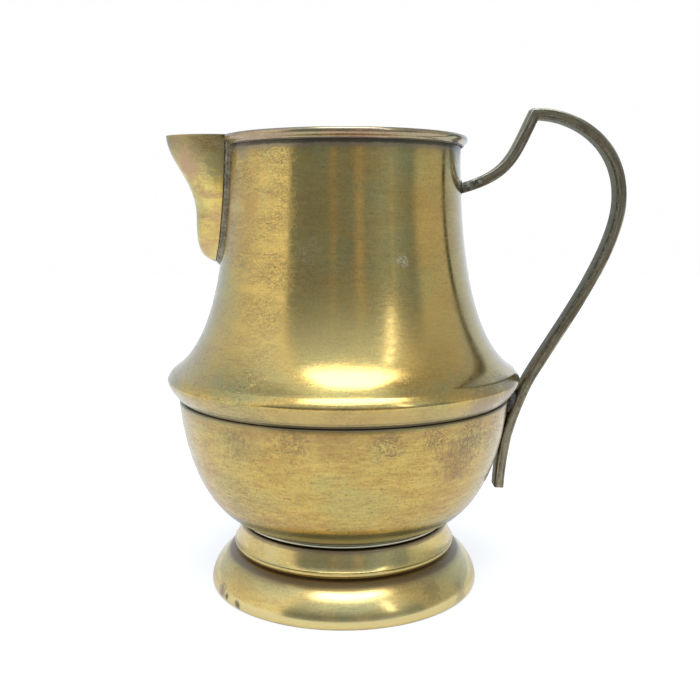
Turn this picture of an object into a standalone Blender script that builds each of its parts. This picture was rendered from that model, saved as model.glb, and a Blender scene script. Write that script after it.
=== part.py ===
# Small antique brass milk jug: a spun neck and shoulder over a spun bowl, on a spun foot,
# with a soldered sheet spout at -X and a bent bar handle at +X.
# Metres, +Z up. The origin lies on the table, under the middle of the whole jug.

import math

import bmesh
import bpy
from mathutils import Vector

# Stock and general sizes
SHEET = 0.0008                 # wall of the spun neck, the bowl and the spout
FOOT_SHEET = 0.0009            # wall of the spun foot
CLEARANCE = 0.0003             # left between two pieces that touch
TURN_STEPS = 40                # flat sides round a turned piece
CURVE_STEPS = 10               # straight pieces in a long curve
ROUND_STEPS = 4                # straight pieces in a small round
MITRE_LIMIT_SHARE = 0.5        # a corner moves out at most the offset over this
MERGE = CLEARANCE / 100        # points closer than this are one
SMOOTH_ANGLE = math.radians(35)

# Shoulder, the widest part of the body, and the band tucked in under it
SHOULDER_RADIUS = 0.0473
SHOULDER_HEIGHT = 0.0572
BAND_TUCK = 0.0028             # the band's lower lip lies this far inside the shoulder
BAND_DEPTH = 0.0047
LIP_RADIUS = SHOULDER_RADIUS - BAND_TUCK
LIP_HEIGHT = SHOULDER_HEIGHT - BAND_DEPTH
SHOULDER_SHARES = ((0.52, 0.26), (1.0, 0.63))
TUCK_SHARES = ((0.0, 0.3), (0.6, 0.77))

# Neck and rim
RIM_HEIGHT = 0.1200            # table to the top of the rim
NECK_RADIUS = 0.0307           # outside of the straight neck
FLARE_INSET = 0.00205          # the flare ends this far inside the shoulder
FLARE_RISE = 0.0027            # and this far over it
RIM_STANDOUT = 0.00175         # the bead stands this far out from the neck
RIM_DEPTH = 0.0026             # height of the bead
RIM_WALL_DROP = 0.0004         # the neck's edge stops this far under the bead's top
FLARE_RADIUS = SHOULDER_RADIUS - FLARE_INSET
FLARE_HEIGHT = SHOULDER_HEIGHT + FLARE_RISE
RIM_RADIUS = NECK_RADIUS + RIM_STANDOUT
FLARE_SHARES = ((0.0, 0.46), (0.257, 0.88))
BEAD_SHARES = ((0.0, 0.06), (0.2, 0.0), (0.88, 0.45), (1.0, 0.66), (0.93, 0.87),
               (0.7, 1.0), (0.25, 1.0), (0.0, 0.88))

# Foot
LEDGE_RADIUS = 0.0276          # flat top that carries the bowl
LEDGE_HEIGHT = 0.0170
COLLAR_STANDOUT = 0.0008       # the collar's upper end is this much wider than the ledge
COLLAR_DROP = 0.0006           # and this far under it
FOOT_RADIUS = 0.0366           # widest part of the lower roll
FOOT_EDGE_HEIGHT = 0.0012      # height of that widest part
FOOT_UNDERCUT = 0.0007         # the edge on the table lies this far inside it
FOOT_BASE_WIDTH = 0.0020       # width of the flat ring on the table
FOOT_ROLL_HEIGHT = 0.0099      # top of the lower roll
GROOVE_STANDOUT = 0.0013       # the groove's bottom is this much wider than the ledge
GROOVE_RISE = 0.0004           # and this far over the roll
ROLL_STANDOUT = 0.0007         # the roll's top stands this far out from the groove
RIDGE_STANDOUT = 0.0014        # the collar's lower ridge does so by this much
RIDGE_RISE = 0.0011            # and lies this far over the groove
COLLAR_RADIUS = LEDGE_RADIUS + COLLAR_STANDOUT
COLLAR_HEIGHT = LEDGE_HEIGHT - COLLAR_DROP
FOOT_BASE_RADIUS = FOOT_RADIUS - FOOT_UNDERCUT
FOOT_GROOVE_RADIUS = LEDGE_RADIUS + GROOVE_STANDOUT
FOOT_GROOVE_HEIGHT = FOOT_ROLL_HEIGHT + GROOVE_RISE
FOOT_ROLL_RADIUS = FOOT_GROOVE_RADIUS + ROLL_STANDOUT
RIDGE_RADIUS = FOOT_GROOVE_RADIUS + RIDGE_STANDOUT
RIDGE_HEIGHT = FOOT_GROOVE_HEIGHT + RIDGE_RISE
FOOT_EDGE_SHARES = ((0.6, 0.0), (1.0, 0.5))
FOOT_ROLL_SHARES = ((0.0, 0.434), (0.72, 0.99))
RIDGE_SHARES = ((0.8, 0.15), (1.0, 0.5))
COLLAR_SHARES = ((0.05, 0.15), (0.7, 0.45))
LEDGE_SHARES = ((0.05, 0.6), (0.5, 1.0))

# Bowl
BOWL_TOP_INSET = 0.0002        # the bowl is this much narrower than the band's lip
BOWL_TOP_DROP = 0.0013         # and starts this far under it
BOWL_LIP_RISE = 0.0021         # its own lip reaches this far up inside the band
GROOVE_WIDTH = 0.0007          # dark line between the band and the bowl
BOWL_BASE_STANDOUT = 0.0004    # where the bowl turns under it is this much wider than the ledge
BOWL_BASE_RISE = 0.0014        # and this far over it
BOWL_FLAT_INSET = 0.0036       # the flat bottom ends this far inside the ledge
LEDGE_WIDTH = 0.0066           # the foot's flat top has a hole in it, inside this width
BOWL_TOP_RADIUS = LIP_RADIUS - BOWL_TOP_INSET
BOWL_TOP_HEIGHT = LIP_HEIGHT - BOWL_TOP_DROP
BOWL_LIP_TOP = LIP_HEIGHT + BOWL_LIP_RISE
BOWL_BASE_RADIUS = LEDGE_RADIUS + BOWL_BASE_STANDOUT
BOWL_BASE_HEIGHT = LEDGE_HEIGHT + BOWL_BASE_RISE
BOWL_FLAT_RADIUS = LEDGE_RADIUS - BOWL_FLAT_INSET
LEDGE_HOLE_RADIUS = LEDGE_RADIUS - LEDGE_WIDTH
BOWL_SHARES = ((0.063, 0.385), (0.329, 0.875))
BOWL_UNDER_SHARES = ((0.375, 0.51), (0.7, 1.0))
BOWL_EDGE_SHARES = ((0.45, 0.0), (1.0, 0.4))

# Spout
SPOUT_TIP_THROW = 0.0160       # the tip stands this far out from the neck
SPOUT_TIP_RISE = 0.0005        # and this far over the rim
SPOUT_WAIST_THROW = 0.00845    # the keel's straight part stands this far out
SPOUT_WAIST_DROP = 0.0220      # and lies this far under the rim
SPOUT_LENGTH = 0.0324          # rim to the spout's lowest point
SPOUT_MOUTH_HALF = 0.0129      # half the width at the rim
SPOUT_LOW_HALF = 0.0074        # half the width above the round end
SPOUT_ROUND_HEIGHT = 0.0060    # height of the round lower end
SPOUT_TIP_REACH = NECK_RADIUS + SPOUT_TIP_THROW
SPOUT_WAIST_REACH = NECK_RADIUS + SPOUT_WAIST_THROW
SPOUT_WAIST_HEIGHT = RIM_HEIGHT - SPOUT_WAIST_DROP
SPOUT_END_HEIGHT = RIM_HEIGHT - SPOUT_LENGTH
SPOUT_KEEL_SHARES = ((-0.10, 0.479), (0.916, 0.654))
SPOUT_END_SHARES = ((0.887, 0.114), (0.995, 0.412))
SPOUT_SECTION_SHARES = ((0.0, 0.42), (0.5, 0.88))
SPOUT_WIDEN_POWER = 1.3        # how late the sides spread towards the rim
SPOUT_LEVELS = 16
POUR_INSET = 0.0016            # the pouring hole is this much smaller all round

# Solder
SEAM_HEIGHT = 0.0010           # solder ring between the neck and the bowl
CREASE_WIDTH = 0.0015          # solder ring between the bowl and the foot
CREASE_INSET = 0.0001          # that ring stays this far inside the ledge
CREASE_SLACK = 0.00005         # extra room over it, where the bowl slopes
SPOUT_SOLDER = 0.0005          # thickness of the seam along the spout
SPOUT_SOLDER_WIDTH = 0.0017
SPOUT_EDGE_LIFT = 0.0002       # the sheet's outer edge stands this far over its inner one
NECK_PAD_HALF_HEIGHT = 0.0026  # solder pads between the handle and the body
NECK_PAD = 0.0004
NECK_PAD_HALF_ANGLE = math.radians(8.0)
SHOULDER_PAD_DROP = 0.0009     # the middle pad's own middle, under the shoulder's widest part
SHOULDER_PAD_HALF_HEIGHT = 0.0016
SHOULDER_PAD = 0.0006
SHOULDER_PAD_HALF_ANGLE = math.radians(4.5)
TAIL_PAD_DROP = 0.0107         # the lower pad's middle, under the bowl's top
TAIL_PAD_HALF_HEIGHT = 0.0045
TAIL_PAD = 0.0004
TAIL_PAD_HALF_ANGLE = math.radians(5.5)
PAD_STEPS = 4
SHOULDER_PAD_MIDDLE = SHOULDER_HEIGHT - SHOULDER_PAD_DROP
TAIL_PAD_MIDDLE = BOWL_TOP_HEIGHT - TAIL_PAD_DROP

# Handle
BAR_THICKNESS = 0.0027         # in the plane of the handle
BAR_WIDTH = 0.0056             # across the handle
BAR_CHAMFER = 0.0005
HANDLE_NECK_DROP = 0.0127      # where the bar meets the neck, under the rim
APEX_THROW = 0.0192            # sharp bend at the top, out from the neck
APEX_RISE = 0.0061             # and over the rim
HANDLE_THROW = 0.0259          # the bar's middle at its widest, out from the shoulder
HANDLE_WIDEST_DROP = 0.0163    # and under the rim
KNEE_SLANT = 0.00095           # extra room where the leaning bar passes the shoulder
KNEE_RISE = 0.0004             # that place, over the shoulder
TAIL_LENGTH = 0.0148           # the bar's free end under its lower pad
TAIL_TUCK = 0.0022             # which draws in by this much
HANDLE_NECK_HEIGHT = RIM_HEIGHT - HANDLE_NECK_DROP
APEX_REACH = NECK_RADIUS + APEX_THROW
APEX_HEIGHT = RIM_HEIGHT + APEX_RISE
HANDLE_REACH = SHOULDER_RADIUS + HANDLE_THROW
HANDLE_REACH_HEIGHT = RIM_HEIGHT - HANDLE_WIDEST_DROP
KNEE_REACH = SHOULDER_RADIUS + SHOULDER_PAD + 2 * CLEARANCE + BAR_THICKNESS / 2 + KNEE_SLANT
KNEE_HEIGHT = SHOULDER_HEIGHT + KNEE_RISE
RISE_SHARES = ((0.664, 0.188), (0.71, 0.425))
ARCH_SHARES = ((0.397, -0.027), (1.013, 0.272))
RUN_SHARES = ((0.014, 0.298), (0.678, 0.735))
KNEE_SHARES = ((0.296, 0.191), (0.706, 0.572))
TAIL_SHARES = ((0.532, 0.326), (0.925, 0.675))

# Cuts
OVERRUN = 0.0040               # cutters run this far past what they cut


def curve_between(start, end, shares, steps):
    """Cubic curve whose two inner points are shares of the way from start to end."""
    start = Vector(start)
    end = Vector(end)
    span = end - start
    first = start + Vector((span.x * shares[0][0], span.y * shares[0][1]))
    second = start + Vector((span.x * shares[1][0], span.y * shares[1][1]))
    points = []
    for i in range(steps + 1):
        t = i / steps
        points.append((1 - t) ** 3 * start + 3 * (1 - t) ** 2 * t * first
                      + 3 * (1 - t) * t ** 2 * second + t ** 3 * end)
    return points


def joined(*lines):
    """One line from several that meet end to start."""
    points = list(lines[0])
    for line in lines[1:]:
        points.extend(line[1:])
    return points


def offset_line(points, distance):
    """The line moved to its right by distance, with mitred corners."""
    moved = []
    for i, point in enumerate(points):
        before = (point - points[i - 1]).normalized() if i > 0 else None
        after = (points[i + 1] - point).normalized() if i < len(points) - 1 else None
        before = before or after
        after = after or before
        along = (before + after).normalized()
        right = Vector((along.y, -along.x))
        moved.append(point + right * (distance / max(along.dot(after), MITRE_LIMIT_SHARE)))
    return moved


def value_on_line(points, key, key_axis, value_axis):
    """Straight-line reading of one coordinate where the other equals key."""
    for a, b in zip(points, points[1:]):
        low, high = sorted((a[key_axis], b[key_axis]))
        if low <= key <= high and high > low:
            t = (key - a[key_axis]) / (b[key_axis] - a[key_axis])
            return a[value_axis] + t * (b[value_axis] - a[value_axis])
    nearest = min(points, key=lambda point: abs(point[key_axis] - key))
    return nearest[value_axis]


# Turned outlines, as (radius, height) from the top down

def neck_outer():
    flare_end = (FLARE_RADIUS, FLARE_HEIGHT)
    widest = (SHOULDER_RADIUS, SHOULDER_HEIGHT)
    under_bead = (NECK_RADIUS, RIM_HEIGHT - RIM_DEPTH)
    top = Vector((NECK_RADIUS, RIM_HEIGHT - RIM_WALL_DROP))
    flare = curve_between(under_bead, flare_end, FLARE_SHARES, CURVE_STEPS + ROUND_STEPS)
    shoulder = curve_between(flare_end, widest, SHOULDER_SHARES, ROUND_STEPS)
    tuck = curve_between(widest, (LIP_RADIUS, LIP_HEIGHT), TUCK_SHARES, ROUND_STEPS)
    return joined([top, flare[0]], flare, shoulder, tuck)


def neck_inner():
    return offset_line(neck_outer(), SHEET)


def bowl_lip_radius():
    return neck_inner()[-1].x - CLEARANCE


def bowl_outer():
    lip = bowl_lip_radius()
    edge_top = Vector((lip, BOWL_TOP_HEIGHT + GROOVE_WIDTH))
    start = (BOWL_TOP_RADIUS, BOWL_TOP_HEIGHT)
    base = (BOWL_BASE_RADIUS, BOWL_BASE_HEIGHT)
    edge = curve_between(edge_top, start, BOWL_EDGE_SHARES, ROUND_STEPS)
    wall = curve_between(start, base, BOWL_SHARES, CURVE_STEPS)
    under = curve_between(base, (BOWL_FLAT_RADIUS, LEDGE_HEIGHT + CLEARANCE),
                          BOWL_UNDER_SHARES, ROUND_STEPS)
    return joined([Vector((lip, BOWL_LIP_TOP)), edge_top], edge, wall, under)


def foot_outer():
    base = Vector((FOOT_BASE_RADIUS, 0))
    widest = (FOOT_RADIUS, FOOT_EDGE_HEIGHT)
    roll_top = (FOOT_ROLL_RADIUS, FOOT_ROLL_HEIGHT)
    groove = Vector((FOOT_GROOVE_RADIUS, FOOT_GROOVE_HEIGHT))
    ridge = (RIDGE_RADIUS, RIDGE_HEIGHT)
    collar = (COLLAR_RADIUS, COLLAR_HEIGHT)
    edge = curve_between(base, widest, FOOT_EDGE_SHARES, ROUND_STEPS)
    roll = curve_between(widest, roll_top, FOOT_ROLL_SHARES, CURVE_STEPS)
    under_ridge = curve_between(groove, ridge, RIDGE_SHARES, ROUND_STEPS)
    side = curve_between(ridge, collar, COLLAR_SHARES, ROUND_STEPS)
    top = curve_between(collar, (LEDGE_RADIUS, LEDGE_HEIGHT), LEDGE_SHARES, ROUND_STEPS)
    return joined(edge, roll, [roll[-1], groove], under_ridge, side, top)


def foot_inner():
    """Inside of the foot, from the ledge's hole down to the table."""
    widest = (FOOT_RADIUS, FOOT_EDGE_HEIGHT)
    roll_top = (FOOT_ROLL_RADIUS, FOOT_ROLL_HEIGHT)
    roll = curve_between(roll_top, widest, mirrored(FOOT_ROLL_SHARES), CURVE_STEPS // 2)
    inside = offset_line(roll, FOOT_SHEET)
    waist = FOOT_GROOVE_RADIUS - FOOT_SHEET
    under_ledge = LEDGE_HEIGHT - FOOT_SHEET
    base_inner = FOOT_BASE_RADIUS - FOOT_BASE_WIDTH
    start = [Vector((LEDGE_HOLE_RADIUS, LEDGE_HEIGHT)),
             Vector((LEDGE_HOLE_RADIUS, under_ledge)),
             Vector((LEDGE_RADIUS - FOOT_SHEET, under_ledge)),
             Vector((waist, RIDGE_HEIGHT)),
             Vector((waist, FOOT_ROLL_HEIGHT))]
    end = [Vector((base_inner, FOOT_SHEET)), Vector((base_inner, 0))]
    return start + inside + end


def mirrored(shares):
    """The shares of the same curve run from its other end."""
    return tuple((1 - x, 1 - y) for x, y in reversed(shares))


# Objects

def add_object(name, mesh_builder, material):
    mesh = bpy.data.meshes.new(name)
    mesh_builder.to_mesh(mesh)
    mesh_builder.free()
    mesh.shade_smooth()
    mesh.set_sharp_from_angle(angle=SMOOTH_ANGLE)
    mesh.materials.append(material)
    piece = bpy.data.objects.new(name, mesh)
    bpy.context.collection.objects.link(piece)
    return piece


def close_up(builder):
    """Merge the spin's seam and the points on the axis, cap open ends, face outwards."""
    bmesh.ops.remove_doubles(builder, verts=builder.verts, dist=MERGE)
    open_edges = [edge for edge in builder.edges if edge.is_boundary]
    if open_edges:
        bmesh.ops.holes_fill(builder, edges=open_edges, sides=0)
    bmesh.ops.recalc_face_normals(builder, faces=builder.faces)


def turn(outline, middle_angle=0.0, half_angle=math.pi, steps=TURN_STEPS):
    """Spin an (radius, height) outline about the jug's axis; a closed one ends where it starts."""
    builder = bmesh.new()
    start_angle = middle_angle - half_angle
    way = Vector((math.cos(start_angle), math.sin(start_angle), 0))
    verts = [builder.verts.new((way.x * x, way.y * x, z)) for x, z in outline]
    edges = [builder.edges.new(pair) for pair in zip(verts, verts[1:])]
    whole = half_angle >= math.pi
    if outline[0].x > 0:
        edges.append(builder.edges.new((verts[-1], verts[0])))
    bmesh.ops.spin(builder, geom=verts + edges, cent=(0, 0, 0), axis=(0, 0, 1),
                   angle=2 * half_angle, steps=steps, use_merge=whole, use_duplicate=False)
    close_up(builder)
    return builder


def sweep(rings):
    """Closed bar from a list of rings of points, capped at both ends."""
    builder = bmesh.new()
    loops = []
    for ring in rings:
        verts = [builder.verts.new(point) for point in ring]
        loops.append([builder.edges.new((verts[i - 1], verts[i])) for i in range(len(verts))])
    for first, second in zip(loops, loops[1:]):
        bmesh.ops.bridge_loops(builder, edges=first + second)
    for loop in (loops[0], loops[-1]):
        builder.faces.new([edge.verts[1] for edge in loop])
    bmesh.ops.recalc_face_normals(builder, faces=builder.faces)
    return builder


def neck_shell(material):
    outline = neck_outer() + neck_inner()[::-1]
    piece = add_object("neck_shell", turn(outline), material)
    cut = piece.modifiers.new("pouring_hole", 'BOOLEAN')
    cut.object = pouring_cutter()
    cut.solver = 'EXACT'
    return piece


def rim_bead(material):
    inside = NECK_RADIUS + CLEARANCE
    low = RIM_HEIGHT - RIM_DEPTH
    width = RIM_RADIUS - inside
    corner = Vector((inside, low))
    outline = [corner + Vector((width * x, RIM_DEPTH * y)) for x, y in BEAD_SHARES]
    seam = SPOUT_SOLDER_WIDTH / 2 + CLEARANCE
    half_angle = math.pi - math.asin(SPOUT_MOUTH_HALF / NECK_RADIUS) - seam / NECK_RADIUS
    steps = round(TURN_STEPS * half_angle / math.pi)
    return add_object("rim_bead", turn(outline, 0.0, half_angle, steps), material)


def bowl(material):
    outer = bowl_outer()
    lip_inner = bowl_lip_radius() - SHEET
    start = (BOWL_TOP_RADIUS, BOWL_TOP_HEIGHT)
    base = (BOWL_BASE_RADIUS, BOWL_BASE_HEIGHT)
    wall = offset_line(curve_between(start, base, BOWL_SHARES, CURVE_STEPS), SHEET)
    floor_height = LEDGE_HEIGHT + CLEARANCE + SHEET
    inner = [Vector((lip_inner, BOWL_LIP_TOP)),
             Vector((lip_inner, BOWL_TOP_HEIGHT + GROOVE_WIDTH))]
    inner += wall[:-1]
    inner += [Vector((BOWL_FLAT_RADIUS, floor_height)), Vector((0, floor_height))]
    outline = inner[::-1] + outer + [Vector((0, LEDGE_HEIGHT + CLEARANCE))]
    return add_object("bowl", turn(outline), material)


def foot(material):
    return add_object("foot", turn(foot_outer() + foot_inner()), material)


# Spout

def spout_half_width(height):
    """Half the spout's width at a height, from its round end up to the rim."""
    share = (height - SPOUT_END_HEIGHT) / (RIM_HEIGHT - SPOUT_END_HEIGHT)
    spread = SPOUT_LOW_HALF + (SPOUT_MOUTH_HALF - SPOUT_LOW_HALF) * share ** SPOUT_WIDEN_POWER
    end_share = min((height - SPOUT_END_HEIGHT) / SPOUT_ROUND_HEIGHT, 1.0)
    return spread * math.sqrt(max(1 - (1 - end_share) ** 2, 0))


def neck_radius_at(height):
    return value_on_line(neck_outer(), height, 1, 0)


def spout_keel():
    """Silhouette of the spout, as (reach, height) from the bottom up."""
    end = (neck_radius_at(SPOUT_END_HEIGHT) + spout_standoff(), SPOUT_END_HEIGHT)
    waist = (SPOUT_WAIST_REACH, SPOUT_WAIST_HEIGHT)
    tip = (SPOUT_TIP_REACH, RIM_HEIGHT + SPOUT_TIP_RISE)
    low = curve_between(end, waist, SPOUT_END_SHARES, SPOUT_LEVELS // 2)
    high = curve_between(waist, tip, SPOUT_KEEL_SHARES, SPOUT_LEVELS // 2)
    return joined(low, high)


def spout_standoff():
    """Distance from the neck to the spout's outer edge, with the solder under its inner edge."""
    return SPOUT_SOLDER + 2 * CLEARANCE + SPOUT_EDGE_LIFT


def spout_section(keel_point):
    """Bent sheet at one height, from one edge round the keel to the other."""
    top_share = (keel_point.y - SPOUT_END_HEIGHT) / (RIM_HEIGHT + SPOUT_TIP_RISE - SPOUT_END_HEIGHT)
    back_height = SPOUT_END_HEIGHT + (RIM_HEIGHT - SPOUT_END_HEIGHT) * top_share
    half = spout_half_width(back_height)
    edge_radius = neck_radius_at(back_height) + spout_standoff()
    back = math.sqrt(edge_radius ** 2 - half ** 2)
    side = curve_between((keel_point.x, 0), (back, half), SPOUT_SECTION_SHARES, 2 * ROUND_STEPS)
    points = []
    for reach, across in side:
        forward = (reach - back) / max(keel_point.x - back, CLEARANCE)
        height = back_height + (keel_point.y - back_height) * forward
        points.append((reach, across, height))
    left = [Vector((-reach, -across, height)) for reach, across, height in points]
    right = [Vector((-reach, across, height)) for reach, across, height in points[1:]]
    return left[::-1] + right


def spout(material):
    builder = bmesh.new()
    keel = spout_keel()
    tip = builder.verts.new((-keel[0].x, 0, keel[0].y))
    rows = []
    for keel_point in keel[1:]:
        verts = [builder.verts.new(point) for point in spout_section(keel_point)]
        rows.append([builder.edges.new(pair) for pair in zip(verts, verts[1:])])
    for edge in rows[0]:
        builder.faces.new((edge.verts[0], edge.verts[1], tip))
    for first, second in zip(rows, rows[1:]):
        bmesh.ops.bridge_loops(builder, edges=first + second)
    bmesh.ops.recalc_face_normals(builder, faces=builder.faces)
    builder.faces.ensure_lookup_table()
    outward = max(builder.faces, key=lambda face: -face.calc_center_median().x)
    if outward.normal.x > 0:
        bmesh.ops.reverse_faces(builder, faces=builder.faces)
    piece = add_object("spout", builder, material)
    wall = piece.modifiers.new("sheet", 'SOLIDIFY')
    wall.thickness = SHEET
    wall.offset = -1.0
    wall.use_even_offset = True
    return piece


def on_neck(arc, height, lift):
    """Point at an arc length round the neck from the spout's middle, lifted off its wall."""
    radius = neck_radius_at(height)
    angle = arc / radius
    reach = radius + lift
    return Vector((-reach * math.cos(angle), reach * math.sin(angle), height))


def seam_path(inset):
    """Edge of the spout rolled flat, as (arc length, height), from one top end to the other."""
    half = []
    levels = 2 * SPOUT_LEVELS
    for i in range(levels + 1):
        turned = math.pi / 2 * i / levels
        height = SPOUT_END_HEIGHT + (RIM_HEIGHT - RIM_WALL_DROP - SPOUT_END_HEIGHT) * (1 - math.cos(turned))
        across = spout_half_width(height)
        half.append(Vector((neck_radius_at(height) * math.asin(across / neck_radius_at(height)), height)))
    left = [Vector((-point.x, point.y)) for point in half[::-1]]
    return offset_line(left + half[1:], -inset)


def pouring_cutter():
    """Block in the shape of the spout's edge, a little smaller, that opens the neck's wall."""
    outline = seam_path(POUR_INSET)
    top = RIM_HEIGHT + OVERRUN
    outline = [Vector((outline[0].x, top))] + outline + [Vector((outline[-1].x, top))]
    near = NECK_RADIUS / 2
    far = SHOULDER_RADIUS
    rings = [[Vector((-depth, point.x, point.y)) for point in outline] for depth in (near, far)]
    piece = add_object("pouring_cutter", sweep(rings), bpy.data.materials.new("cutter"))
    piece.hide_render = True
    piece.display_type = 'WIRE'
    return piece


def spout_solder(material):
    path = seam_path(0)
    sides = [offset_line(path, SPOUT_SOLDER_WIDTH / 2 * way) for way in (-1, 1)]
    rings = []
    for a, b in zip(*sides):
        rings.append([on_neck(a.x, a.y, CLEARANCE), on_neck(b.x, b.y, CLEARANCE),
                      on_neck(b.x, b.y, CLEARANCE + SPOUT_SOLDER),
                      on_neck(a.x, a.y, CLEARANCE + SPOUT_SOLDER)])
    return add_object("spout_solder", sweep(rings), material)


# Handle

def tail_seat_reach():
    """Reach of the bar's middle where its inner side lies on the lower pad."""
    wall = value_on_line(bowl_outer(), TAIL_PAD_MIDDLE, 1, 0)
    return wall + 2 * CLEARANCE + TAIL_PAD + BAR_THICKNESS / 2


def handle_path():
    """Middle line of the bar, as (reach, height), from the neck over the apex to the tail."""
    start = (neck_radius_at(HANDLE_NECK_HEIGHT) + NECK_PAD + 3 * CLEARANCE, HANDLE_NECK_HEIGHT)
    apex = (APEX_REACH, APEX_HEIGHT)
    widest = (HANDLE_REACH, HANDLE_REACH_HEIGHT)
    knee = (KNEE_REACH, KNEE_HEIGHT)
    seat = (tail_seat_reach(), TAIL_PAD_MIDDLE)
    tail = (seat[0] - TAIL_TUCK, seat[1] - TAIL_LENGTH)
    rise = curve_between(start, apex, RISE_SHARES, CURVE_STEPS)
    arch = curve_between(apex, widest, ARCH_SHARES, CURVE_STEPS)
    run = curve_between(widest, knee, RUN_SHARES, CURVE_STEPS)
    tuck = curve_between(knee, seat, KNEE_SHARES, CURVE_STEPS // 2)
    end = curve_between(seat, tail, TAIL_SHARES, ROUND_STEPS)
    return joined(rise, arch, run, tuck, end)


def handle(material):
    path = handle_path()
    flat = BAR_THICKNESS / 2
    wide = BAR_WIDTH / 2
    section = ((flat, wide - BAR_CHAMFER), (flat - BAR_CHAMFER, wide),
               (BAR_CHAMFER - flat, wide), (-flat, wide - BAR_CHAMFER),
               (-flat, BAR_CHAMFER - wide), (BAR_CHAMFER - flat, -wide),
               (flat - BAR_CHAMFER, -wide), (flat, BAR_CHAMFER - wide))
    lines = [offset_line(path, depth) for depth, across in section]
    rings = []
    for i in range(len(path)):
        rings.append([Vector((line[i].x, across, line[i].y))
                      for line, (depth, across) in zip(lines, section)])
    return add_object("handle", sweep(rings), material)


# Solder rings and pads

def body_solder(material):
    """Ring in the pocket between the bowl's lip and the tucked band."""
    inside = bowl_lip_radius() + CLEARANCE
    top = BOWL_LIP_TOP
    low = top - SEAM_HEIGHT
    wall = neck_inner()
    reach_top = value_on_line(wall, top, 1, 0) - 2 * CLEARANCE
    reach_low = value_on_line(wall, low, 1, 0) - 2 * CLEARANCE
    outline = [Vector((inside, low)), Vector((max(reach_low, inside + CLEARANCE), low)),
               Vector((reach_top, top)), Vector((inside, top))]
    return add_object("body_solder", turn(outline), material)


def foot_solder(material):
    """Ring in the crease between the bowl and the foot's ledge."""
    outside = LEDGE_RADIUS - CREASE_INSET
    inside = outside - CREASE_WIDTH
    low = LEDGE_HEIGHT + CLEARANCE
    wall = bowl_outer()
    outline = [Vector((inside, low)), Vector((outside, low))]
    for radius in (outside, (outside + inside) / 2, inside):
        roof = value_on_line(wall[-2 * ROUND_STEPS:], radius, 0, 1) - CLEARANCE - CREASE_SLACK
        outline.append(Vector((radius, max(roof, low + CREASE_SLACK))))
    return add_object("foot_solder", turn(outline), material)


def pad(name, wall, middle, half_height, thickness, half_angle, material):
    """Solder pad that lies on a turned wall, under the handle."""
    low = middle - half_height
    high = middle + half_height
    heights = [high + (low - high) * i / PAD_STEPS for i in range(PAD_STEPS + 1)]
    line = [Vector((value_on_line(wall, height, 1, 0), height)) for height in heights]
    near = offset_line(line, -CLEARANCE)
    far = offset_line(line, -CLEARANCE - thickness)
    return add_object(name, turn(near + far[::-1], 0.0, half_angle, PAD_STEPS), material)


# Finish

def metal(name, colour, roughness):
    material = bpy.data.materials.new(name)
    material.use_nodes = True
    shader = material.node_tree.nodes["Principled BSDF"]
    shader.inputs["Base Color"].default_value = (*colour, 1.0)
    shader.inputs["Metallic"].default_value = 1.0
    shader.inputs["Roughness"].default_value = roughness
    material.diffuse_color = (*colour, 1.0)
    return material


def build():
    for old in list(bpy.data.objects):
        bpy.data.objects.remove(old)
    brass = metal("aged_brass", (0.62, 0.47, 0.19), 0.32)
    bowl_brass = metal("mottled_brass", (0.55, 0.41, 0.17), 0.38)
    foot_brass = metal("foot_brass", (0.64, 0.50, 0.22), 0.28)
    spout_brass = metal("spout_brass", (0.57, 0.43, 0.20), 0.36)
    dark_bar = metal("dark_brown_brass", (0.19, 0.15, 0.10), 0.42)
    solder = metal("tarnished_solder", (0.15, 0.12, 0.09), 0.55)
    pieces = [neck_shell(brass), rim_bead(brass), bowl(bowl_brass), foot(foot_brass),
              spout(spout_brass), handle(dark_bar), body_solder(solder), foot_solder(solder),
              spout_solder(solder)]
    pieces.append(pad("handle_neck_solder", neck_outer(), HANDLE_NECK_HEIGHT,
                      NECK_PAD_HALF_HEIGHT, NECK_PAD, NECK_PAD_HALF_ANGLE, solder))
    pieces.append(pad("handle_shoulder_solder", neck_outer(), SHOULDER_PAD_MIDDLE,
                      SHOULDER_PAD_HALF_HEIGHT, SHOULDER_PAD, SHOULDER_PAD_HALF_ANGLE, solder))
    pieces.append(pad("handle_tail_solder", bowl_outer(), TAIL_PAD_MIDDLE,
                      TAIL_PAD_HALF_HEIGHT, TAIL_PAD, TAIL_PAD_HALF_ANGLE, solder))
    jug = bpy.data.objects.new("jug", None)
    bpy.context.collection.objects.link(jug)
    handle_edge = max(point.x for point in handle_path()) + BAR_THICKNESS / 2
    left_edge = max(SPOUT_TIP_REACH, SHOULDER_RADIUS)
    jug.location = ((left_edge - handle_edge) / 2, 0, 0)
    for piece in pieces + [bpy.data.objects["pouring_cutter"]]:
        piece.parent = jug
    bpy.context.view_layer.update()


build()
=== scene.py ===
import math

import bmesh
import bpy
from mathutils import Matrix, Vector, geometry, noise


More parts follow.
